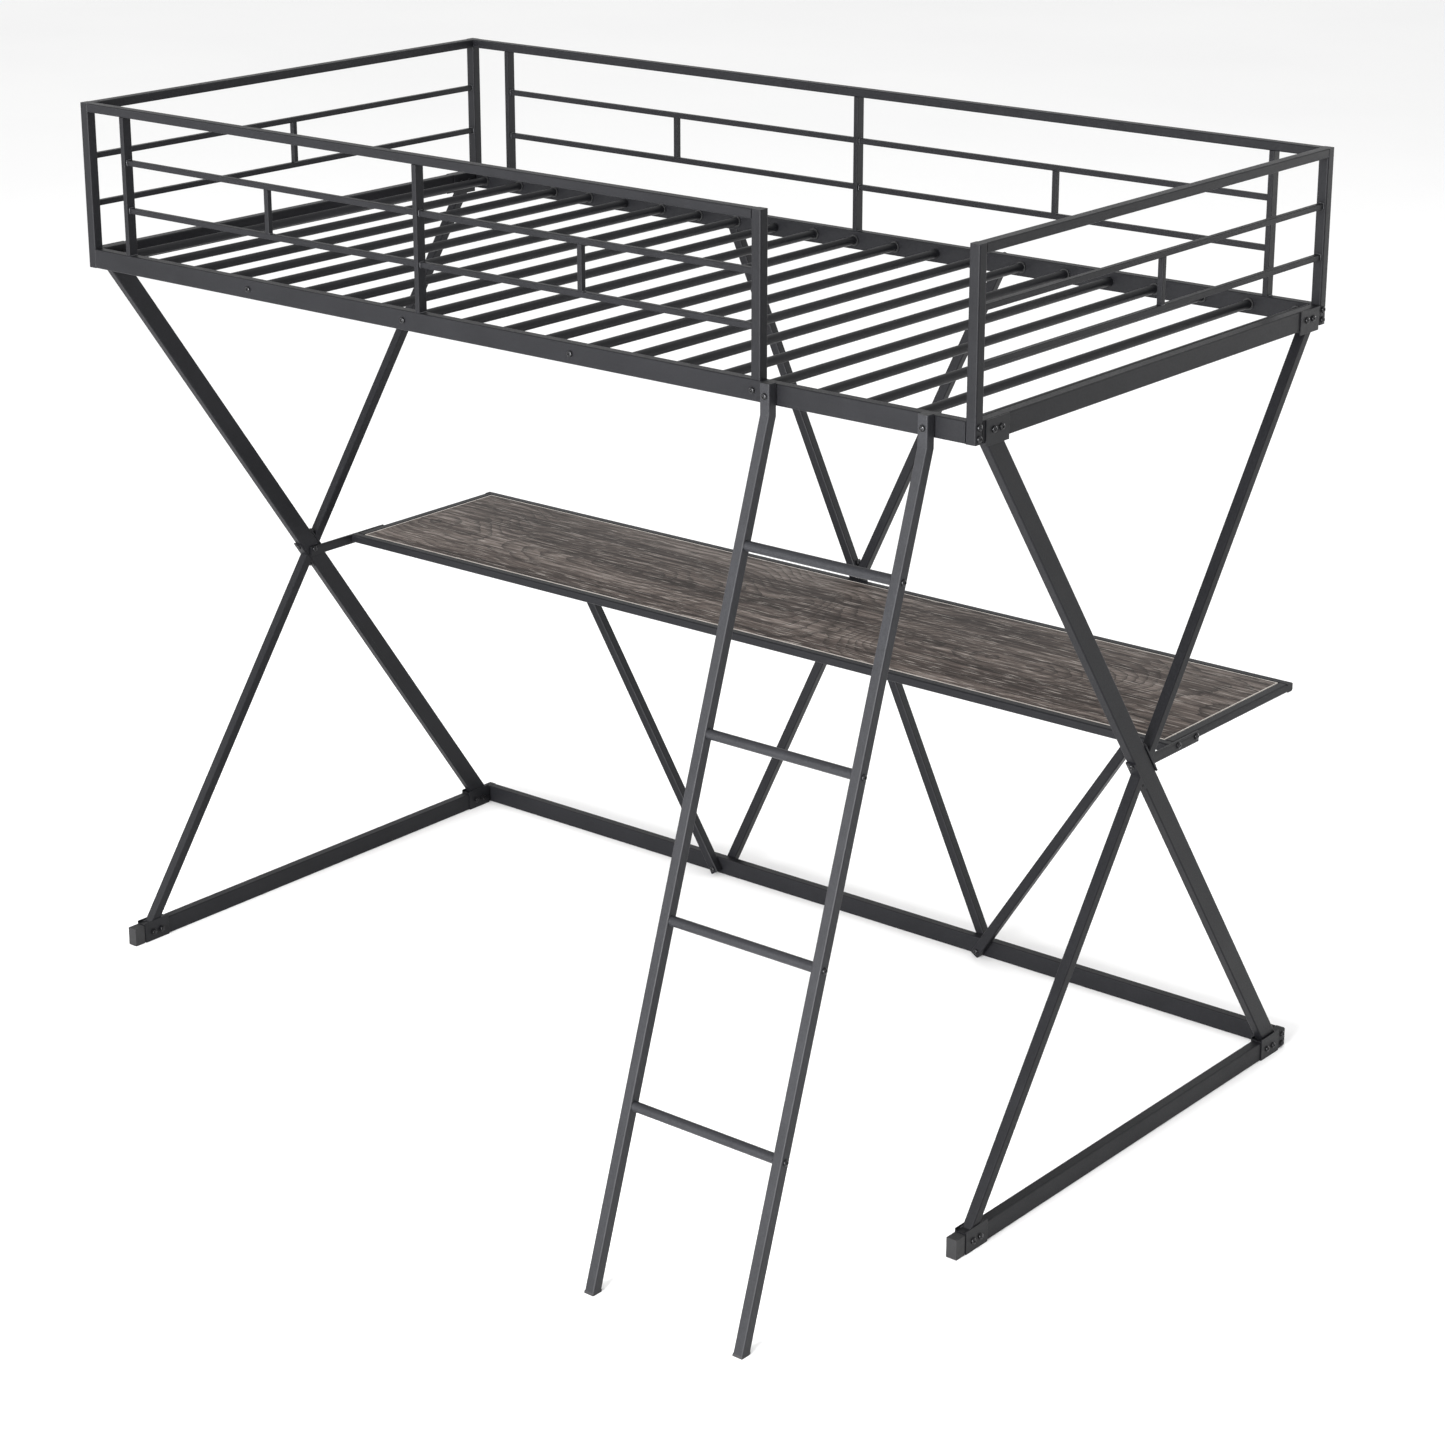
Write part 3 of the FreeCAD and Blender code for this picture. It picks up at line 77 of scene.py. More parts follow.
class Nodes:
    """Short names for building one material's node tree."""

    def __init__(self, name):
        self.material = bpy.data.materials.new(name)
        self.material.use_nodes = True
        self.tree = self.material.node_tree
        self.shader = self.tree.nodes["Principled BSDF"]
        self.place = self.tree.nodes.new("ShaderNodeTexCoord").outputs["Object"]

    def add(self, kind, **settings):
        made = self.tree.nodes.new(kind)
        for key, value in settings.items():
            setattr(made, key, value)
        return made

    def link(self, source, target):
        self.tree.links.new(source, target)

    def feed(self, socket, value):
        if isinstance(value, bpy.types.NodeSocket):
            self.link(value, socket)
        else:
            socket.default_value = value

    def scaled(self, scale):
        made = self.add("ShaderNodeMapping")
        made.inputs["Scale"].default_value = scale
        self.link(self.place, made.inputs["Vector"])
        return made.outputs["Vector"]

    def noise(self, scale, detail=3.0, rough=0.55, source=None, distortion=0.0):
        made = self.add("ShaderNodeTexNoise")
        made.inputs["Scale"].default_value = scale
        made.inputs["Detail"].default_value = detail
        made.inputs["Roughness"].default_value = rough
        made.inputs["Distortion"].default_value = distortion
        self.link(source or self.place, made.inputs["Vector"])
        return made.outputs["Fac"]

    def cells(self, scale, feature="F1"):
        made = self.add("ShaderNodeTexVoronoi", feature=feature)
        made.inputs["Scale"].default_value = scale
        self.link(self.place, made.inputs["Vector"])
        return made.outputs["Distance"]

    def math(self, operation, a, b=0.0):
        made = self.add("ShaderNodeMath", operation=operation)
        for socket, value in zip(made.inputs, (a, b)):
            self.feed(socket, value)
        return made.outputs[0]

    def span(self, value, low, high, new_low, new_high):
        made = self.add("ShaderNodeMapRange")
        self.feed(made.inputs["Value"], value)
        for key, number in zip(("From Min", "From Max", "To Min", "To Max"),
                               (low, high, new_low, new_high)):
            made.inputs[key].default_value = number
        return made.outputs["Result"]

    def ramp(self, value, stops):
        made = self.add("ShaderNodeValToRGB")
        points = made.color_ramp.elements
        while len(points) < len(stops):
            points.new(0.5)
        for point, (position, colour) in zip(points, stops):
            point.position = position
            point.color = (*colour, 1.0)
        self.link(value, made.inputs["Fac"])
        return made.outputs["Color"]

    def mix(self, factor, a, b, blend="MIX"):
        made = self.add("ShaderNodeMix", data_type="RGBA", blend_type=blend)
        self.feed(made.inputs["Factor"], factor)
        for key, value in (("A", a), ("B", b)):
            socket = [s for s in made.inputs if s.name == key and s.type == "RGBA"][0]
            self.feed(socket, value if isinstance(value, bpy.types.NodeSocket) else (*value, 1.0))
        return [s for s in made.outputs if s.type == "RGBA"][0]

    def bump(self, height, strength, distance):
        made = self.add("ShaderNodeBump")
        made.inputs["Strength"].default_value = strength
        made.inputs["Distance"].default_value = distance
        self.link(height, made.inputs["Height"])
        return made.outputs["Normal"]

    def surface(self, **values):
        for key, value in values.items():
            self.feed(self.shader.inputs[SOCKETS[key]], value)
        return self.material


def powder_coat(name, dark, light, rough, specular):
    """Fine-textured charcoal powder coat: granular speckle, slow mottling, orange-peel relief."""
    n = Nodes(name)
    grain = n.noise(950, 3.0, 0.7)
    speckle = n.noise(330, 2.0, 0.6)
    cloud = n.noise(9, 4.0, 0.55, distortion=0.6)
    handled = n.noise(3.1, 5.0, 0.62, distortion=1.2)
    mixed = n.math("ADD", n.math("MULTIPLY", grain, 0.45),
                   n.math("ADD", n.math("MULTIPLY", speckle, 0.30),
                          n.math("MULTIPLY", cloud, 0.25)))
    base = n.ramp(mixed, [(0.30, dark), (0.52, tuple((a + b) / 2 for a, b in zip(dark, light))),
                          (0.72, light)])
    dust = n.span(handled, 0.56, 0.80, 0.0, 0.16)
    colour = n.mix(dust, base, tuple(c * 1.7 for c in light))
    roughness = n.math("ADD", n.span(speckle, 0.3, 0.7, rough - 0.07, rough + 0.07),
                       n.span(handled, 0.35, 0.75, -0.03, 0.05))
    peel = n.cells(420, feature="SMOOTH_F1")
    relief = n.math("ADD", n.math("MULTIPLY", peel, 0.6), n.math("MULTIPLY", grain, 0.5))
    return n.surface(colour=colour, roughness=roughness, specular=specular,
                     normal=n.bump(relief, 0.32, 0.00022))


def weathered_oak(name):
    """Grey-brown oak laminate: cathedral figure, long streaks, short dark pores, pale flecks."""
    n = Nodes(name)
    split = n.add("ShaderNodeSeparateXYZ")
    n.link(n.place, split.inputs[0])
    x, y = split.outputs[0], split.outputs[1]
    sway = n.noise(1.0, 3.0, 0.5, source=n.scaled((1.6, 5.0, 1.0)))
    swell = n.noise(1.0, 2.0, 0.5, source=n.scaled((2.3, 1.1, 1.0)))
    across = n.math("ADD", n.math("SUBTRACT", y, 0.505),
                    n.math("MULTIPLY", n.math("SUBTRACT", sway, 0.5), 0.11))
    depth = n.math("ADD", 0.012, n.math("MULTIPLY", n.math("SUBTRACT", swell, 0.36), 0.62))
    radius = n.math("SQRT", n.math("ADD", n.math("MULTIPLY", across, across),
                                   n.math("MULTIPLY", depth, depth)))
    ripple = n.noise(1.0, 3.0, 0.6, source=n.scaled((9.0, 60.0, 1.0)))
    phase = n.math("ADD", n.math("MULTIPLY", radius, 62.0), n.math("MULTIPLY", ripple, 0.75))
    ring = n.math("FRACT", phase)
    figure = n.math("POWER", ring, 3.0)
    streak = n.noise(1.0, 5.0, 0.6, source=n.scaled((3.2, 105.0, 1.0)))
    fibre = n.noise(1.0, 3.0, 0.65, source=n.scaled((16.0, 380.0, 1.0)))
    patch = n.noise(1.0, 3.0, 0.5, source=n.scaled((1.7, 15.0, 1.0)))
    tone = n.math("ADD", n.math("MULTIPLY", streak, 0.46),
                  n.math("ADD", n.math("MULTIPLY", fibre, 0.22),
                         n.math("MULTIPLY", patch, 0.32)))
    base = n.ramp(tone, [(0.41, (0.018, 0.013, 0.011)), (0.48, (0.050, 0.038, 0.033)),
                         (0.54, (0.100, 0.079, 0.068)), (0.61, (0.190, 0.160, 0.143))])
    ringed = n.mix(n.math("MULTIPLY", figure, 0.88), base, (0.014, 0.010, 0.008))
    pores = n.noise(1.0, 2.0, 0.5, source=n.scaled((30.0, 420.0, 1.0)))
    pore = n.span(pores, 0.58, 0.66, 0.0, 0.8)
    pored = n.mix(pore, ringed, (0.009, 0.007, 0.006))
    flecks = n.noise(1.0, 3.0, 0.6, source=n.scaled((17.0, 270.0, 3.0)))
    pale = n.mix(n.span(flecks, 0.58, 0.68, 0.0, 0.8), pored, (0.36, 0.325, 0.295))
    relief = n.math("SUBTRACT", n.math("MULTIPLY", fibre, 0.5), n.math("MULTIPLY", pore, 0.6))
    return n.surface(colour=pale, roughness=n.span(tone, 0.3, 0.7, 0.74, 0.60), specular=0.22,
                     normal=n.bump(relief, 0.35, 0.00025))


def edge_painted_highlight(name):
    """The board's pale band round its edge, a painted highlight standing in for the light line along
    the edge: fine lengthwise grain and scuffs.
    """
    n = Nodes(name)
    fine = n.noise(1.0, 3.0, 0.6, source=n.scaled((25.0, 300.0, 300.0)))
    scuff = n.noise(28, 3.0, 0.6)
    base = n.ramp(fine, [(0.3, (0.38, 0.345, 0.31)), (0.7, (0.58, 0.54, 0.50))])
    worn = n.mix(n.span(scuff, 0.58, 0.72, 0.0, 0.5), base, (0.20, 0.17, 0.15))
    return n.surface(colour=worn, roughness=n.span(scuff, 0.3, 0.7, 0.45, 0.6),
                     normal=n.bump(fine, 0.2, 0.0002))


def moulded_plastic(name, colour):
    """Black moulded plastic: fine spark texture and faint flow marks."""
    n = Nodes(name)
    spark = n.cells(900)
    flow = n.noise(40, 3.0, 0.5, distortion=1.5)
    pale = tuple(c * 1.9 for c in colour)
    base = n.ramp(n.math("ADD", n.math("MULTIPLY", spark, 0.6), n.math("MULTIPLY", flow, 0.4)),
                  [(0.2, colour), (0.8, pale)])
    return n.surface(colour=base, roughness=n.span(flow, 0.3, 0.7, 0.5, 0.66), specular=0.4,
                     normal=n.bump(spark, 0.3, 0.00015))


def black_oxide(name):
    """Black-oxide steel: glossy, with brushed turning marks and rubbed edges."""
    n = Nodes(name)
    turned = n.noise(1500, 2.0, 0.5)
    rubbed = n.noise(420, 3.0, 0.65)
    base = n.ramp(rubbed, [(0.35, (0.012, 0.012, 0.013)), (0.62, (0.030, 0.030, 0.032)),
                           (0.85, (0.16, 0.16, 0.165))])
    return n.surface(colour=base, metallic=0.75, roughness=n.span(rubbed, 0.3, 0.7, 0.20, 0.36),
                     normal=n.bump(turned, 0.12, 0.0001))


def weld_coat_painted_glints(name):
    """Painted weld beads: coated like the tube, a little glossier, with spatter. Their tone is
    several times lighter than the tube's coat, a painted highlight for the glints on the welds.
    """
    n = Nodes(name)
    spatter = n.cells(700)
    tone = n.noise(260, 3.0, 0.6)
    # These tones are lighter than the charcoal coat: painted glints.
    base = n.ramp(tone, [(0.3, (0.012, 0.012, 0.014)), (0.7, (0.046, 0.047, 0.052))])
    return n.surface(colour=base, roughness=n.span(tone, 0.3, 0.7, 0.28, 0.44), specular=0.5,
                     normal=n.bump(spatter, 0.45, 0.0003))


def studio_floor(name):
    """A plain pale studio floor, with barely visible tone and texture."""
    n = Nodes(name)
    tone = n.noise(0.7, 4.0, 0.5)
    base = n.ramp(tone, [(0.3, (0.930, 0.930, 0.930)), (0.7, (0.950, 0.950, 0.948))])
    return n.surface(colour=base, roughness=0.85, specular=0.1,
                     normal=n.bump(n.noise(160, 3.0, 0.5), 0.05, 0.0005))


COAT_DARK = powder_coat("powder_coat_charcoal", (0.0038, 0.0039, 0.0047),
                        (0.0118, 0.0120, 0.0140), 0.44, 0.13)
# The ladder gets the charcoal coat made about twice as light. This is painted light, standing in for
# the key light on the ladder's front faces.
COAT_LADDER_PAINTED_LIT = powder_coat("powder_coat_ladder_painted_lit", (0.0085, 0.0087, 0.0100),
                          (0.0255, 0.0260, 0.0293), 0.42, 0.16)
COAT_STEEL = powder_coat("powder_coat_brackets", (0.0036, 0.0037, 0.0044),
                         (0.0112, 0.0114, 0.0132), 0.40, 0.16)
OAK = weathered_oak("weathered_oak_laminate")
# Pale band material for the board's edge: a painted highlight.
EDGE_HIGHLIGHT = edge_painted_highlight("board_edge_painted_highlight")
PLASTIC = moulded_plastic("moulded_black_plastic", (0.0048, 0.0048, 0.0054))
OXIDE = black_oxide("black_oxide_steel")
# The weld material's lighter tone is a painted highlight.
WELD = weld_coat_painted_glints("weld_painted_glints")
FLOOR = studio_floor("studio_floor")


def dress(node, material):
    """Gives a CAD node a finer material, in its own slots."""
    for slot in NODES[node].material_slots:
        slot.link = "OBJECT"
        slot.material = material


BRACKETRY = ("saddle_brackets", "left_desk_arm", "right_desk_arm")
FOOT_CAPS = "floor_rail_caps"
PLASTICS = (FOOT_CAPS, "ladder_caps", "slat_sleeves", "tube_plugs")
BOLT_NODES = [name for name in NODES if name.endswith("_bolts")]
for name in NODES:
    if name in BOLT_NODES or name == "desk_board":
        continue
    if name in PLASTICS:
        dress(name, PLASTIC)
    elif name in BRACKETRY:
        dress(name, COAT_STEEL)
    elif name.startswith("ladder"):
        # Ladder parts wear the lighter, painted-lit copy of the charcoal coat.
        dress(name, COAT_LADDER_PAINTED_LIT)
    else:
        dress(name, COAT_DARK)


# ------------------------------------------------------------------ pieces

def piece(name, bm, material, smooth=True):
    """A mesh piece of the bed, riding on its one body."""
    bmesh.ops.recalc_face_normals(bm, faces=bm.faces)
    mesh = bpy.data.meshes.new(name)
    bm.to_mesh(mesh)
    bm.free()
    for face in mesh.polygons:
        face.use_smooth = smooth
    made = bpy.data.objects.new(name, mesh)
    bpy.context.scene.collection.objects.link(made)
    mesh.materials.append(material)
    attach(made, "root")
    return made


def round_edges(made, width):
    """Rounds a piece's sharp edges by a modifier; the vertices underneath stay as they are."""
    weld = made.modifiers.new("weld", "WELD")
    weld.merge_threshold = 1e-6
    bevel = made.modifiers.new("bevel", "BEVEL")
    bevel.width = width
    bevel.segments = 2
    bevel.limit_method = "ANGLE"
    bevel.angle_limit = math.radians(35)
    bevel.harden_normals = True


def ring(bm, radius, height, frame_matrix, count, shape=None):
    """A loop of vertices round the axis, circular or on a polygon's outline."""
    loop = []
    for k in range(count):
        angle = 2 * math.pi * k / count
        r = radius if shape is None else radius * shape(angle)
        loop.append(bm.verts.new(frame_matrix @ Vector((r * math.cos(angle),
                                                        r * math.sin(angle), height))))
    return loop


def skin(bm, loops, close_start=True, close_end=True):
    for a, b in zip(loops, loops[1:]):
        count = len(a)
        for k in range(count):
            bm.faces.new((a[k], a[(k + 1) % count], b[(k + 1) % count], b[k]))
    if close_start:
        bm.faces.new(list(reversed(loops[0])))
    if close_end:
        bm.faces.new(loops[-1])


def hexagon(angle):
    """Outline of a unit hexagon, as a share of the radius of its corners."""
    step = math.pi / 3
    return math.cos(step / 2) / math.cos((angle % step) - step / 2)


def solids_of(node):
    """The separate solids of a CAD node, each as an array of its points."""
    bm = bmesh.new()
    bm.from_mesh(NODES[node].data)
    bmesh.ops.remove_doubles(bm, verts=bm.verts, dist=1e-6)
    bm.verts.ensure_lookup_table()
    left = set(bm.verts)
    groups = []
    while left:
        stack = [left.pop()]
        group = [stack[0]]
        while stack:
            vert = stack.pop()
            for edge in vert.link_edges:
                other = edge.other_vert(vert)
                if other in left:
                    left.remove(other)
                    stack.append(other)
                    group.append(other)
        groups.append(np.array([v.co[:] for v in group]))
    bm.free()
    return sorted(groups, key=lambda g: tuple(np.round(g.mean(0), 4)))


def axis_of(points):
    """The middle of a turned solid's box, and the direction of its axis."""
    centre = (points.min(0) + points.max(0)) / 2
    spread = points - points.mean(0)
    values, vectors = np.linalg.eigh(spread.T @ spread)
    gaps = (abs(values[1] - values[0]), abs(values[2] - values[1]))
    axis = vectors[:, 2] if gaps[0] < gaps[1] else vectors[:, 0]
    return centre, axis


def bolt_frame(points):
    """(a point on the axis, the axis towards the head, the two ends along it) of a screw."""
    axis = axis_of(points)[1]
    along = points @ axis
    radial = np.linalg.norm(points - np.outer(along, axis)
                            - (points.mean(0) - (points.mean(0) @ axis) * axis), axis=1)
    low, high = along.min(), along.max()
    middle = (low + high) / 2
    if radial[along < middle].max() > radial[along > middle].max():
        axis = -axis
        low, high = -high, -low
    core = points.mean(0) - (points.mean(0) @ axis) * axis
    return core, axis, low, high


def basis(origin, axis):
    """A matrix whose +Z is the axis, at the origin."""
    z = Vector(axis).normalized()
    helper = Vector((0, 0, 1)) if abs(z.z) < 0.9 else Vector((1, 0, 0))
    x = helper.cross(z).normalized()
    y = z.cross(x)
    matrix = Matrix((x, y, z)).transposed().to_4x4()
    matrix.translation = Vector(origin)
    return matrix


HEAD_RADIUS = 5.5 * MM
HEAD_HEIGHT = 3.3 * MM
HEAD_EDGE = 0.9 * MM
CROWN_RADIUS = 2.75 * MM
CROWN_ANGLE = 90
DOME_STEPS = (0.18, 0.36, 0.54, 0.72, 0.88, 1.0)
SHANK_RADIUS = 3.0 * MM
THREAD_ROOT = 0.15 * MM
THREAD_CREST = 0.14 * MM
SOCKET_RADIUS = 2.3 * MM
SOCKET_DEPTH = 2.0 * MM
SHORTEST_SCREW = 6 * MM
NUT_CORNER = 5.8 * MM
AROUND = 36
GOLDEN = 0.61803


def add_bolt(bm, seat, axis, length, turn):
    """A button-head screw: domed head with a hexagon socket, shank with a thread's crests."""
    matrix = basis(seat, axis) @ Matrix.Rotation(turn, 4, "Z")

    def at(radius, height, shape=None):
        return ring(bm, radius, height, matrix, AROUND, shape)

    loops = []
    steps = max(3, int(length / (1.0 * MM)))
    for k in range(steps + 1):
        share = k / steps
        crest = THREAD_CREST if 0 < k < steps and k % 2 else 0.0
        loops.append(at(SHANK_RADIUS - THREAD_ROOT + crest, -length * (1 - share)))
    loops.append(at(HEAD_RADIUS - 0.35 * MM, 0.0))
    loops.append(at(HEAD_RADIUS, 0.3 * MM))
    loops.append(at(HEAD_RADIUS, HEAD_EDGE))
    for share in DOME_STEPS:
        angle = math.radians(CROWN_ANGLE) * share
        radius = CROWN_RADIUS + (HEAD_RADIUS - CROWN_RADIUS) * math.cos(angle)
        loops.append(at(radius, HEAD_EDGE + (HEAD_HEIGHT - HEAD_EDGE) * math.sin(angle)))
    loops.append(at(SOCKET_RADIUS * 1.08, HEAD_HEIGHT - 0.08 * MM, hexagon))
    loops.append(at(SOCKET_RADIUS, HEAD_HEIGHT - 0.3 * MM, hexagon))
    loops.append(at(SOCKET_RADIUS * 0.98, HEAD_HEIGHT - SOCKET_DEPTH, hexagon))
    loops.append(at(SOCKET_RADIUS * 0.3, HEAD_HEIGHT - SOCKET_DEPTH - 0.4 * MM))
    skin(bm, loops)


def add_nut(bm, origin, axis, height, turn):
    """A hexagon nut with chamfered corners and a countersunk bore."""
    matrix = basis(origin, axis) @ Matrix.Rotation(turn, 4, "Z")
    bore = SHANK_RADIUS + 0.1 * MM
    sink = 0.4 * MM
    chamfer = 0.7 * MM
    face = NUT_CORNER * math.cos(math.pi / 6) * 0.97
    half = height / 2
    outline = [(bore, half - sink, None), (bore + sink, half, None), (face, half, None),
               (NUT_CORNER, half - chamfer, hexagon), (NUT_CORNER, chamfer - half, hexagon),
               (face, -half, None), (bore + sink, -half, None), (bore, sink - half, None)]
    loops = [ring(bm, radius, level, matrix, AROUND, shape) for radius, level, shape in outline]
    loops.append(loops[0])
    skin(bm, loops, close_start=False, close_end=False)


for name in sorted(BOLT_NODES):
    bm = bmesh.new()
    for index, points in enumerate(solids_of(name)):
        turn = (index * GOLDEN % 1) * math.pi / 3
        centre, axis = axis_of(points)
        along = points @ axis
        span = along.max() - along.min()
        if span < SHORTEST_SCREW:
            add_nut(bm, centre, axis, span, turn)
        else:
            core, axis, low, high = bolt_frame(points)
            seat = core + axis * (high - HEAD_HEIGHT)
            add_bolt(bm, seat, axis, high - HEAD_HEIGHT - low, turn)
    made = piece("detailed_" + name, bm, OXIDE)
    made.data.set_sharp_from_angle(angle=math.radians(40))
    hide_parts(name)

# Small rounding on cut steel and moulded plastic.
STEEL_ROUNDING = 0.4 * MM
CAP_ROUNDING = 0.8 * MM
for name in BRACKETRY + (FOOT_CAPS,):
    round_edges(NODES[name], CAP_ROUNDING if name == FOOT_CAPS else STEEL_ROUNDING)


# Desk board: a laminate panel with softened edges, and a pale band all round its edge that is a
# painted highlight for the light line along the board's edge.
low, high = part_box("desk_board")
BAND_WIDTH = 2.2 * MM


def panel(bm, lo, hi, soften):
    made = bmesh.ops.create_cube(bm, size=1.0)["verts"]
    for vert in made:
        vert.co = Vector(((lo[i] + hi[i]) / 2 + vert.co[i] * (hi[i] - lo[i]) for i in range(3)))
    edges = {e for v in made for e in v.link_edges}
    bmesh.ops.bevel(bm, geom=list(edges), offset=soften, segments=3, affect="EDGES",
                    profile=0.5)


bm = bmesh.new()
panel(bm, (low.x + BAND_WIDTH, low.y + BAND_WIDTH, low.z),
      (high.x - BAND_WIDTH, high.y - BAND_WIDTH, high.z), 0.25 * MM)
board = piece("desk_board_panel", bm, OAK)
board.data.set_sharp_from_angle(angle=math.radians(40))
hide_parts("desk_board")
bm = bmesh.new()
for lo, hi in (
    ((low.x, low.y, low.z), (high.x, low.y + BAND_WIDTH, high.z)),
    ((low.x, high.y - BAND_WIDTH, low.z), (high.x, high.y, high.z)),
    ((low.x, low.y + BAND_WIDTH, low.z), (low.x + BAND_WIDTH, high.y - BAND_WIDTH, high.z)),
    ((high.x - BAND_WIDTH, low.y + BAND_WIDTH, low.z), (high.x, high.y - BAND_WIDTH, high.z)),
):
    panel(bm, lo, hi, 0.2 * MM)
# The pale band round the board's edge is a painted highlight.
piece("desk_board_edge_highlight", bm, EDGE_HIGHLIGHT, smooth=False)


# Weld beads where tube meets tube.
BEADS = bmesh.new()
BEAD_NUMBERS = itertools.count(1)
BAR_BEAD = 1.0 * MM
POST_BEAD = 1.1 * MM
SADDLE_BEAD = 1.5 * MM


def bead(start, end, radius):
    """A rippled weld bead between two points, half sunk in its corner."""
    number = next(BEAD_NUMBERS)
    start = Vector(start)
    end = Vector(end)
    length = (end - start).length
    matrix = basis(start, (end - start).normalized())
    steps = max(4, int(length / (0.9 * MM)))
    loops = []
    for k in range(steps + 1):
        share = k / steps
        wave = 0.86 + 0.14 * math.sin(k * 2.1 + number)
        taper = min(1.0, 0.45 + 4.0 * min(share, 1 - share))
        drift = 1 + 0.12 * noise.noise(Vector((number * 1.7, k * 0.35, 0.0)))
        loops.append(ring(BEADS, radius * wave * taper * drift, share * length, matrix, 8))
    skin(BEADS, loops)


BAR_WIDTH = 10 * MM
SPACER_HEIGHT = 76.7 * MM
RAIL_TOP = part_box("front_side_rail")[1].z


def bar_end(lo, hi, axis):
    """Beads round both ends of a bar that runs along an axis and butts against posts."""
    mid = (lo + hi) / 2
    half = BAR_WIDTH / 2
    corners = [(-half, -half), (half, -half), (half, half), (-half, half)]
    for face in (lo[axis] + 0.3 * MM, hi[axis] - 0.3 * MM):
        places = []
        for across, up in corners:
            place = Vector((mid.x + across, mid.y + across, mid.z + up))
            place[axis] = face
            places.append(place)
        for start, end in zip(places, places[1:] + places[:1]):
            bead(start, end, BAR_BEAD)


def tubes_of(node):
    """(low, high) of each solid of a node of tubes."""
    return [(Vector(p.min(0)), Vector(p.max(0))) for p in solids_of(node)]


for node in ("front_guard", "back_guard", "left_end_frame", "right_end_frame"):
    for lo, hi in tubes_of(node):
        size = hi - lo
        mid = (lo + hi) / 2
        is_bar = abs(size.z - BAR_WIDTH) < 0.5 * MM
        stands_on_rail = abs(lo.z - RAIL_TOP) < 1 * MM
        is_spacer = abs(size.z - SPACER_HEIGHT) < 3 * MM
        is_slim = size.z > 0.05 and max(size.x, size.y) < 20 * MM
        if is_bar and size.x > 0.1:
            bar_end(lo, hi, 0)
        elif is_bar and size.y > 0.1:
            bar_end(lo, hi, 1)
        elif is_slim and (stands_on_rail or is_spacer):
            x_reach = size.x / 2 - 0.2 * MM
            y_reach = size.y / 2 - 0.6 * MM
            level = lo.z + 0.2 * MM
            for x in (mid.x - x_reach, mid.x + x_reach):
                bead((x, mid.y - y_reach, level), (x, mid.y + y_reach, level), POST_BEAD)

# Saddle brackets: a bead along each lip where it meets the beam.
for side, sign in (("left", -1), ("right", 1)):
    beam_lo, beam_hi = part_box(side + "_through_beam")
    for lo, hi in tubes_of("saddle_brackets"):
        if (lo.x + hi.x) * sign < 0:
            continue
        mid = (lo + hi) / 2
        upper = mid.z > 0.6
        edge = lo.z + 6 * MM if upper else hi.z - 6 * MM
        web = edge - 2.6 * MM if upper else edge + 2.6 * MM
        for x in (beam_lo.x + 0.4 * MM, beam_hi.x - 0.4 * MM):
            bead((x, lo.y + 12 * MM, web), (x, hi.y - 12 * MM, web), SADDLE_BEAD)

piece("weld_beads", BEADS, WELD)

# Vent holes in the side rails beside the guard uprights: a black raised ring whose middle is closed
# by a black disc, painted shade for the dark inside of each hole.
bm = bmesh.new()
for node, face, sign in (("front_guard", "front_side_rail", -1), ("back_guard", "back_side_rail", 1)):
    rail_lo, rail_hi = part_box(face)
    for lo, hi in tubes_of(node):
        size = hi - lo
        if size.z > 0.2 and size.x < 11 * MM:
            x = hi.x + 4.5 * MM
            mid_y = (rail_lo.y + rail_hi.y) / 2
            matrix = basis((x, mid_y, rail_hi.z), (0, 0, 1))
            # The black disc at each ring's middle is painted shade standing in for the hole.
            loops = [ring(bm, r * MM, h * MM, matrix, 20)
                     for r, h in ((2.6, 0.0), (2.5, 0.22), (2.1, 0.3), (1.8, 0.15), (1.7, 0.02))]
            skin(bm, loops, close_start=True, close_end=True)
piece("vent_hole_painted_shade", bm, PLASTIC)


# ------------------------------------------------------------------ studio

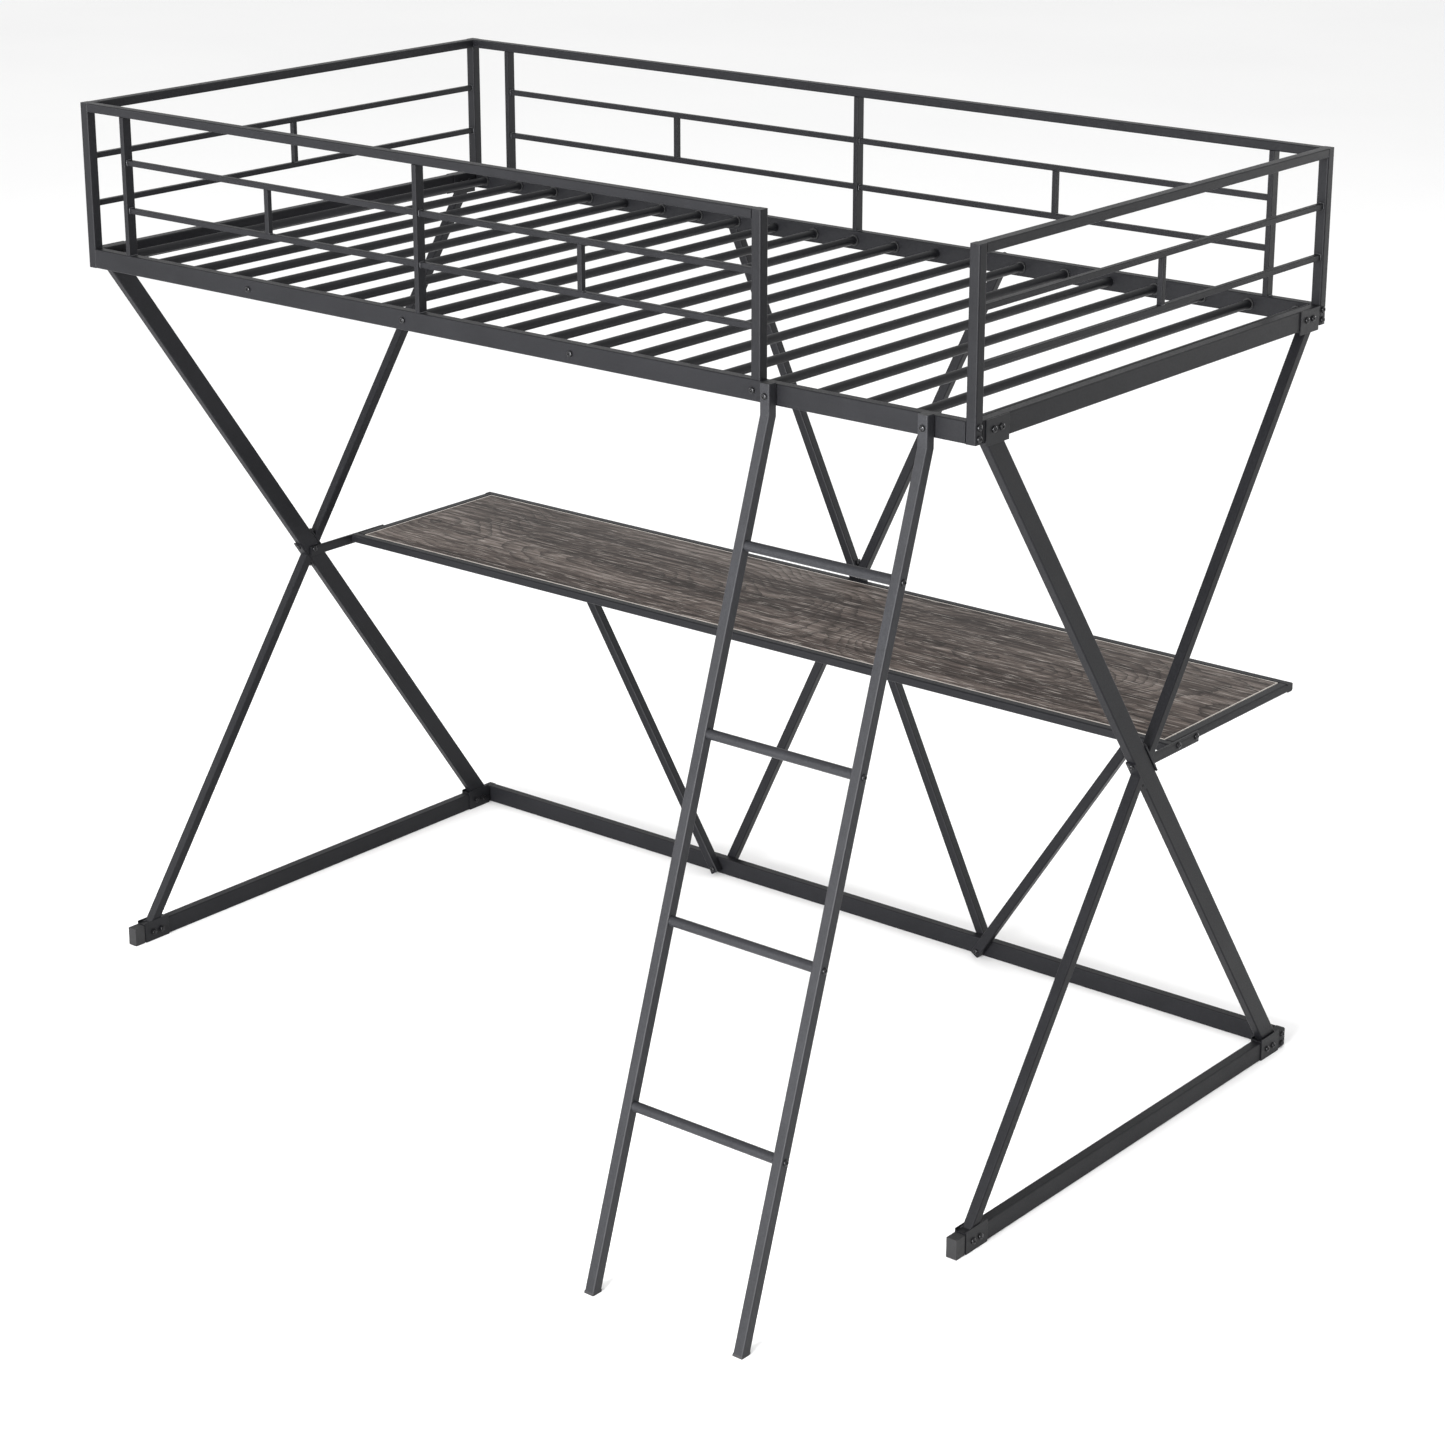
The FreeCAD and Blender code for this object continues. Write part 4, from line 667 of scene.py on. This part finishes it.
FLOOR_REACH = 150.0
FLOOR_GAP = 0.4 * MM
floor_corners = [(x * FLOOR_REACH, y * FLOOR_REACH, 0)
                 for x, y in ((-1, -1), (1, -1), (1, 1), (-1, 1))]
floor_mesh = bpy.data.meshes.new("floor")
floor_mesh.from_pydata(floor_corners, [], [(0, 1, 2, 3)])
floor_mesh.materials.append(FLOOR)
floor = bpy.data.objects.new("floor", floor_mesh)
floor.location.z = -FLOOR_GAP
bpy.context.scene.collection.objects.link(floor)

world = bpy.data.worlds.new("studio")
world.use_nodes = True
world.node_tree.nodes["Background"].inputs["Color"].default_value = (1.0, 1.0, 1.0, 1.0)
world.node_tree.nodes["Background"].inputs["Strength"].default_value = 0.93
bpy.context.scene.world = world
bpy.context.scene.view_settings.view_transform = "Standard"
bpy.context.scene.view_settings.look = "None"


def softbox(name, place, aim, power, width, height):
    data = bpy.data.lights.new(name, "AREA")
    data.shape = "RECTANGLE"
    data.size = width
    data.size_y = height
    data.energy = power
    lamp = bpy.data.objects.new(name, data)
    lamp.location = place
    lamp.rotation_euler = (Vector(aim) - Vector(place)).to_track_quat("-Z", "Y").to_euler()
    bpy.context.scene.collection.objects.link(lamp)


softbox("key", (1.2, -7.5, 1.9), (0.4, 0.0, 0.8), 1500, 3.6, 2.6)
softbox("side_fill", (-5.5, -5.0, 2.6), (0.0, 0.2, 0.8), 160, 3.0, 3.0)
softbox("back_fill", (2.5, 8.0, 1.4), (0.0, 0.2, 0.8), 130, 3.0, 2.0)
softbox("top", (0.5, 1.5, 5.5), (0.0, 0.2, 0.8), 60, 5.0, 4.0)

camera_data = bpy.data.cameras.new("camera")
camera_data.lens = 83.3
camera_data.shift_y = -0.08
camera_data.sensor_width = 36.0
camera_data.clip_end = 600.0
camera = bpy.data.objects.new("camera", camera_data)
camera.location = (3.71795, -4.22447, 2.64188)
azimuth = math.radians(39.28)
pitch = math.radians(17.94)
back = Vector((math.sin(azimuth) * math.cos(pitch), -math.cos(azimuth) * math.cos(pitch),
               math.sin(pitch)))
camera.rotation_euler = back.to_track_quat("Z", "Y").to_euler()
bpy.context.scene.collection.objects.link(camera)
bpy.context.scene.camera = camera
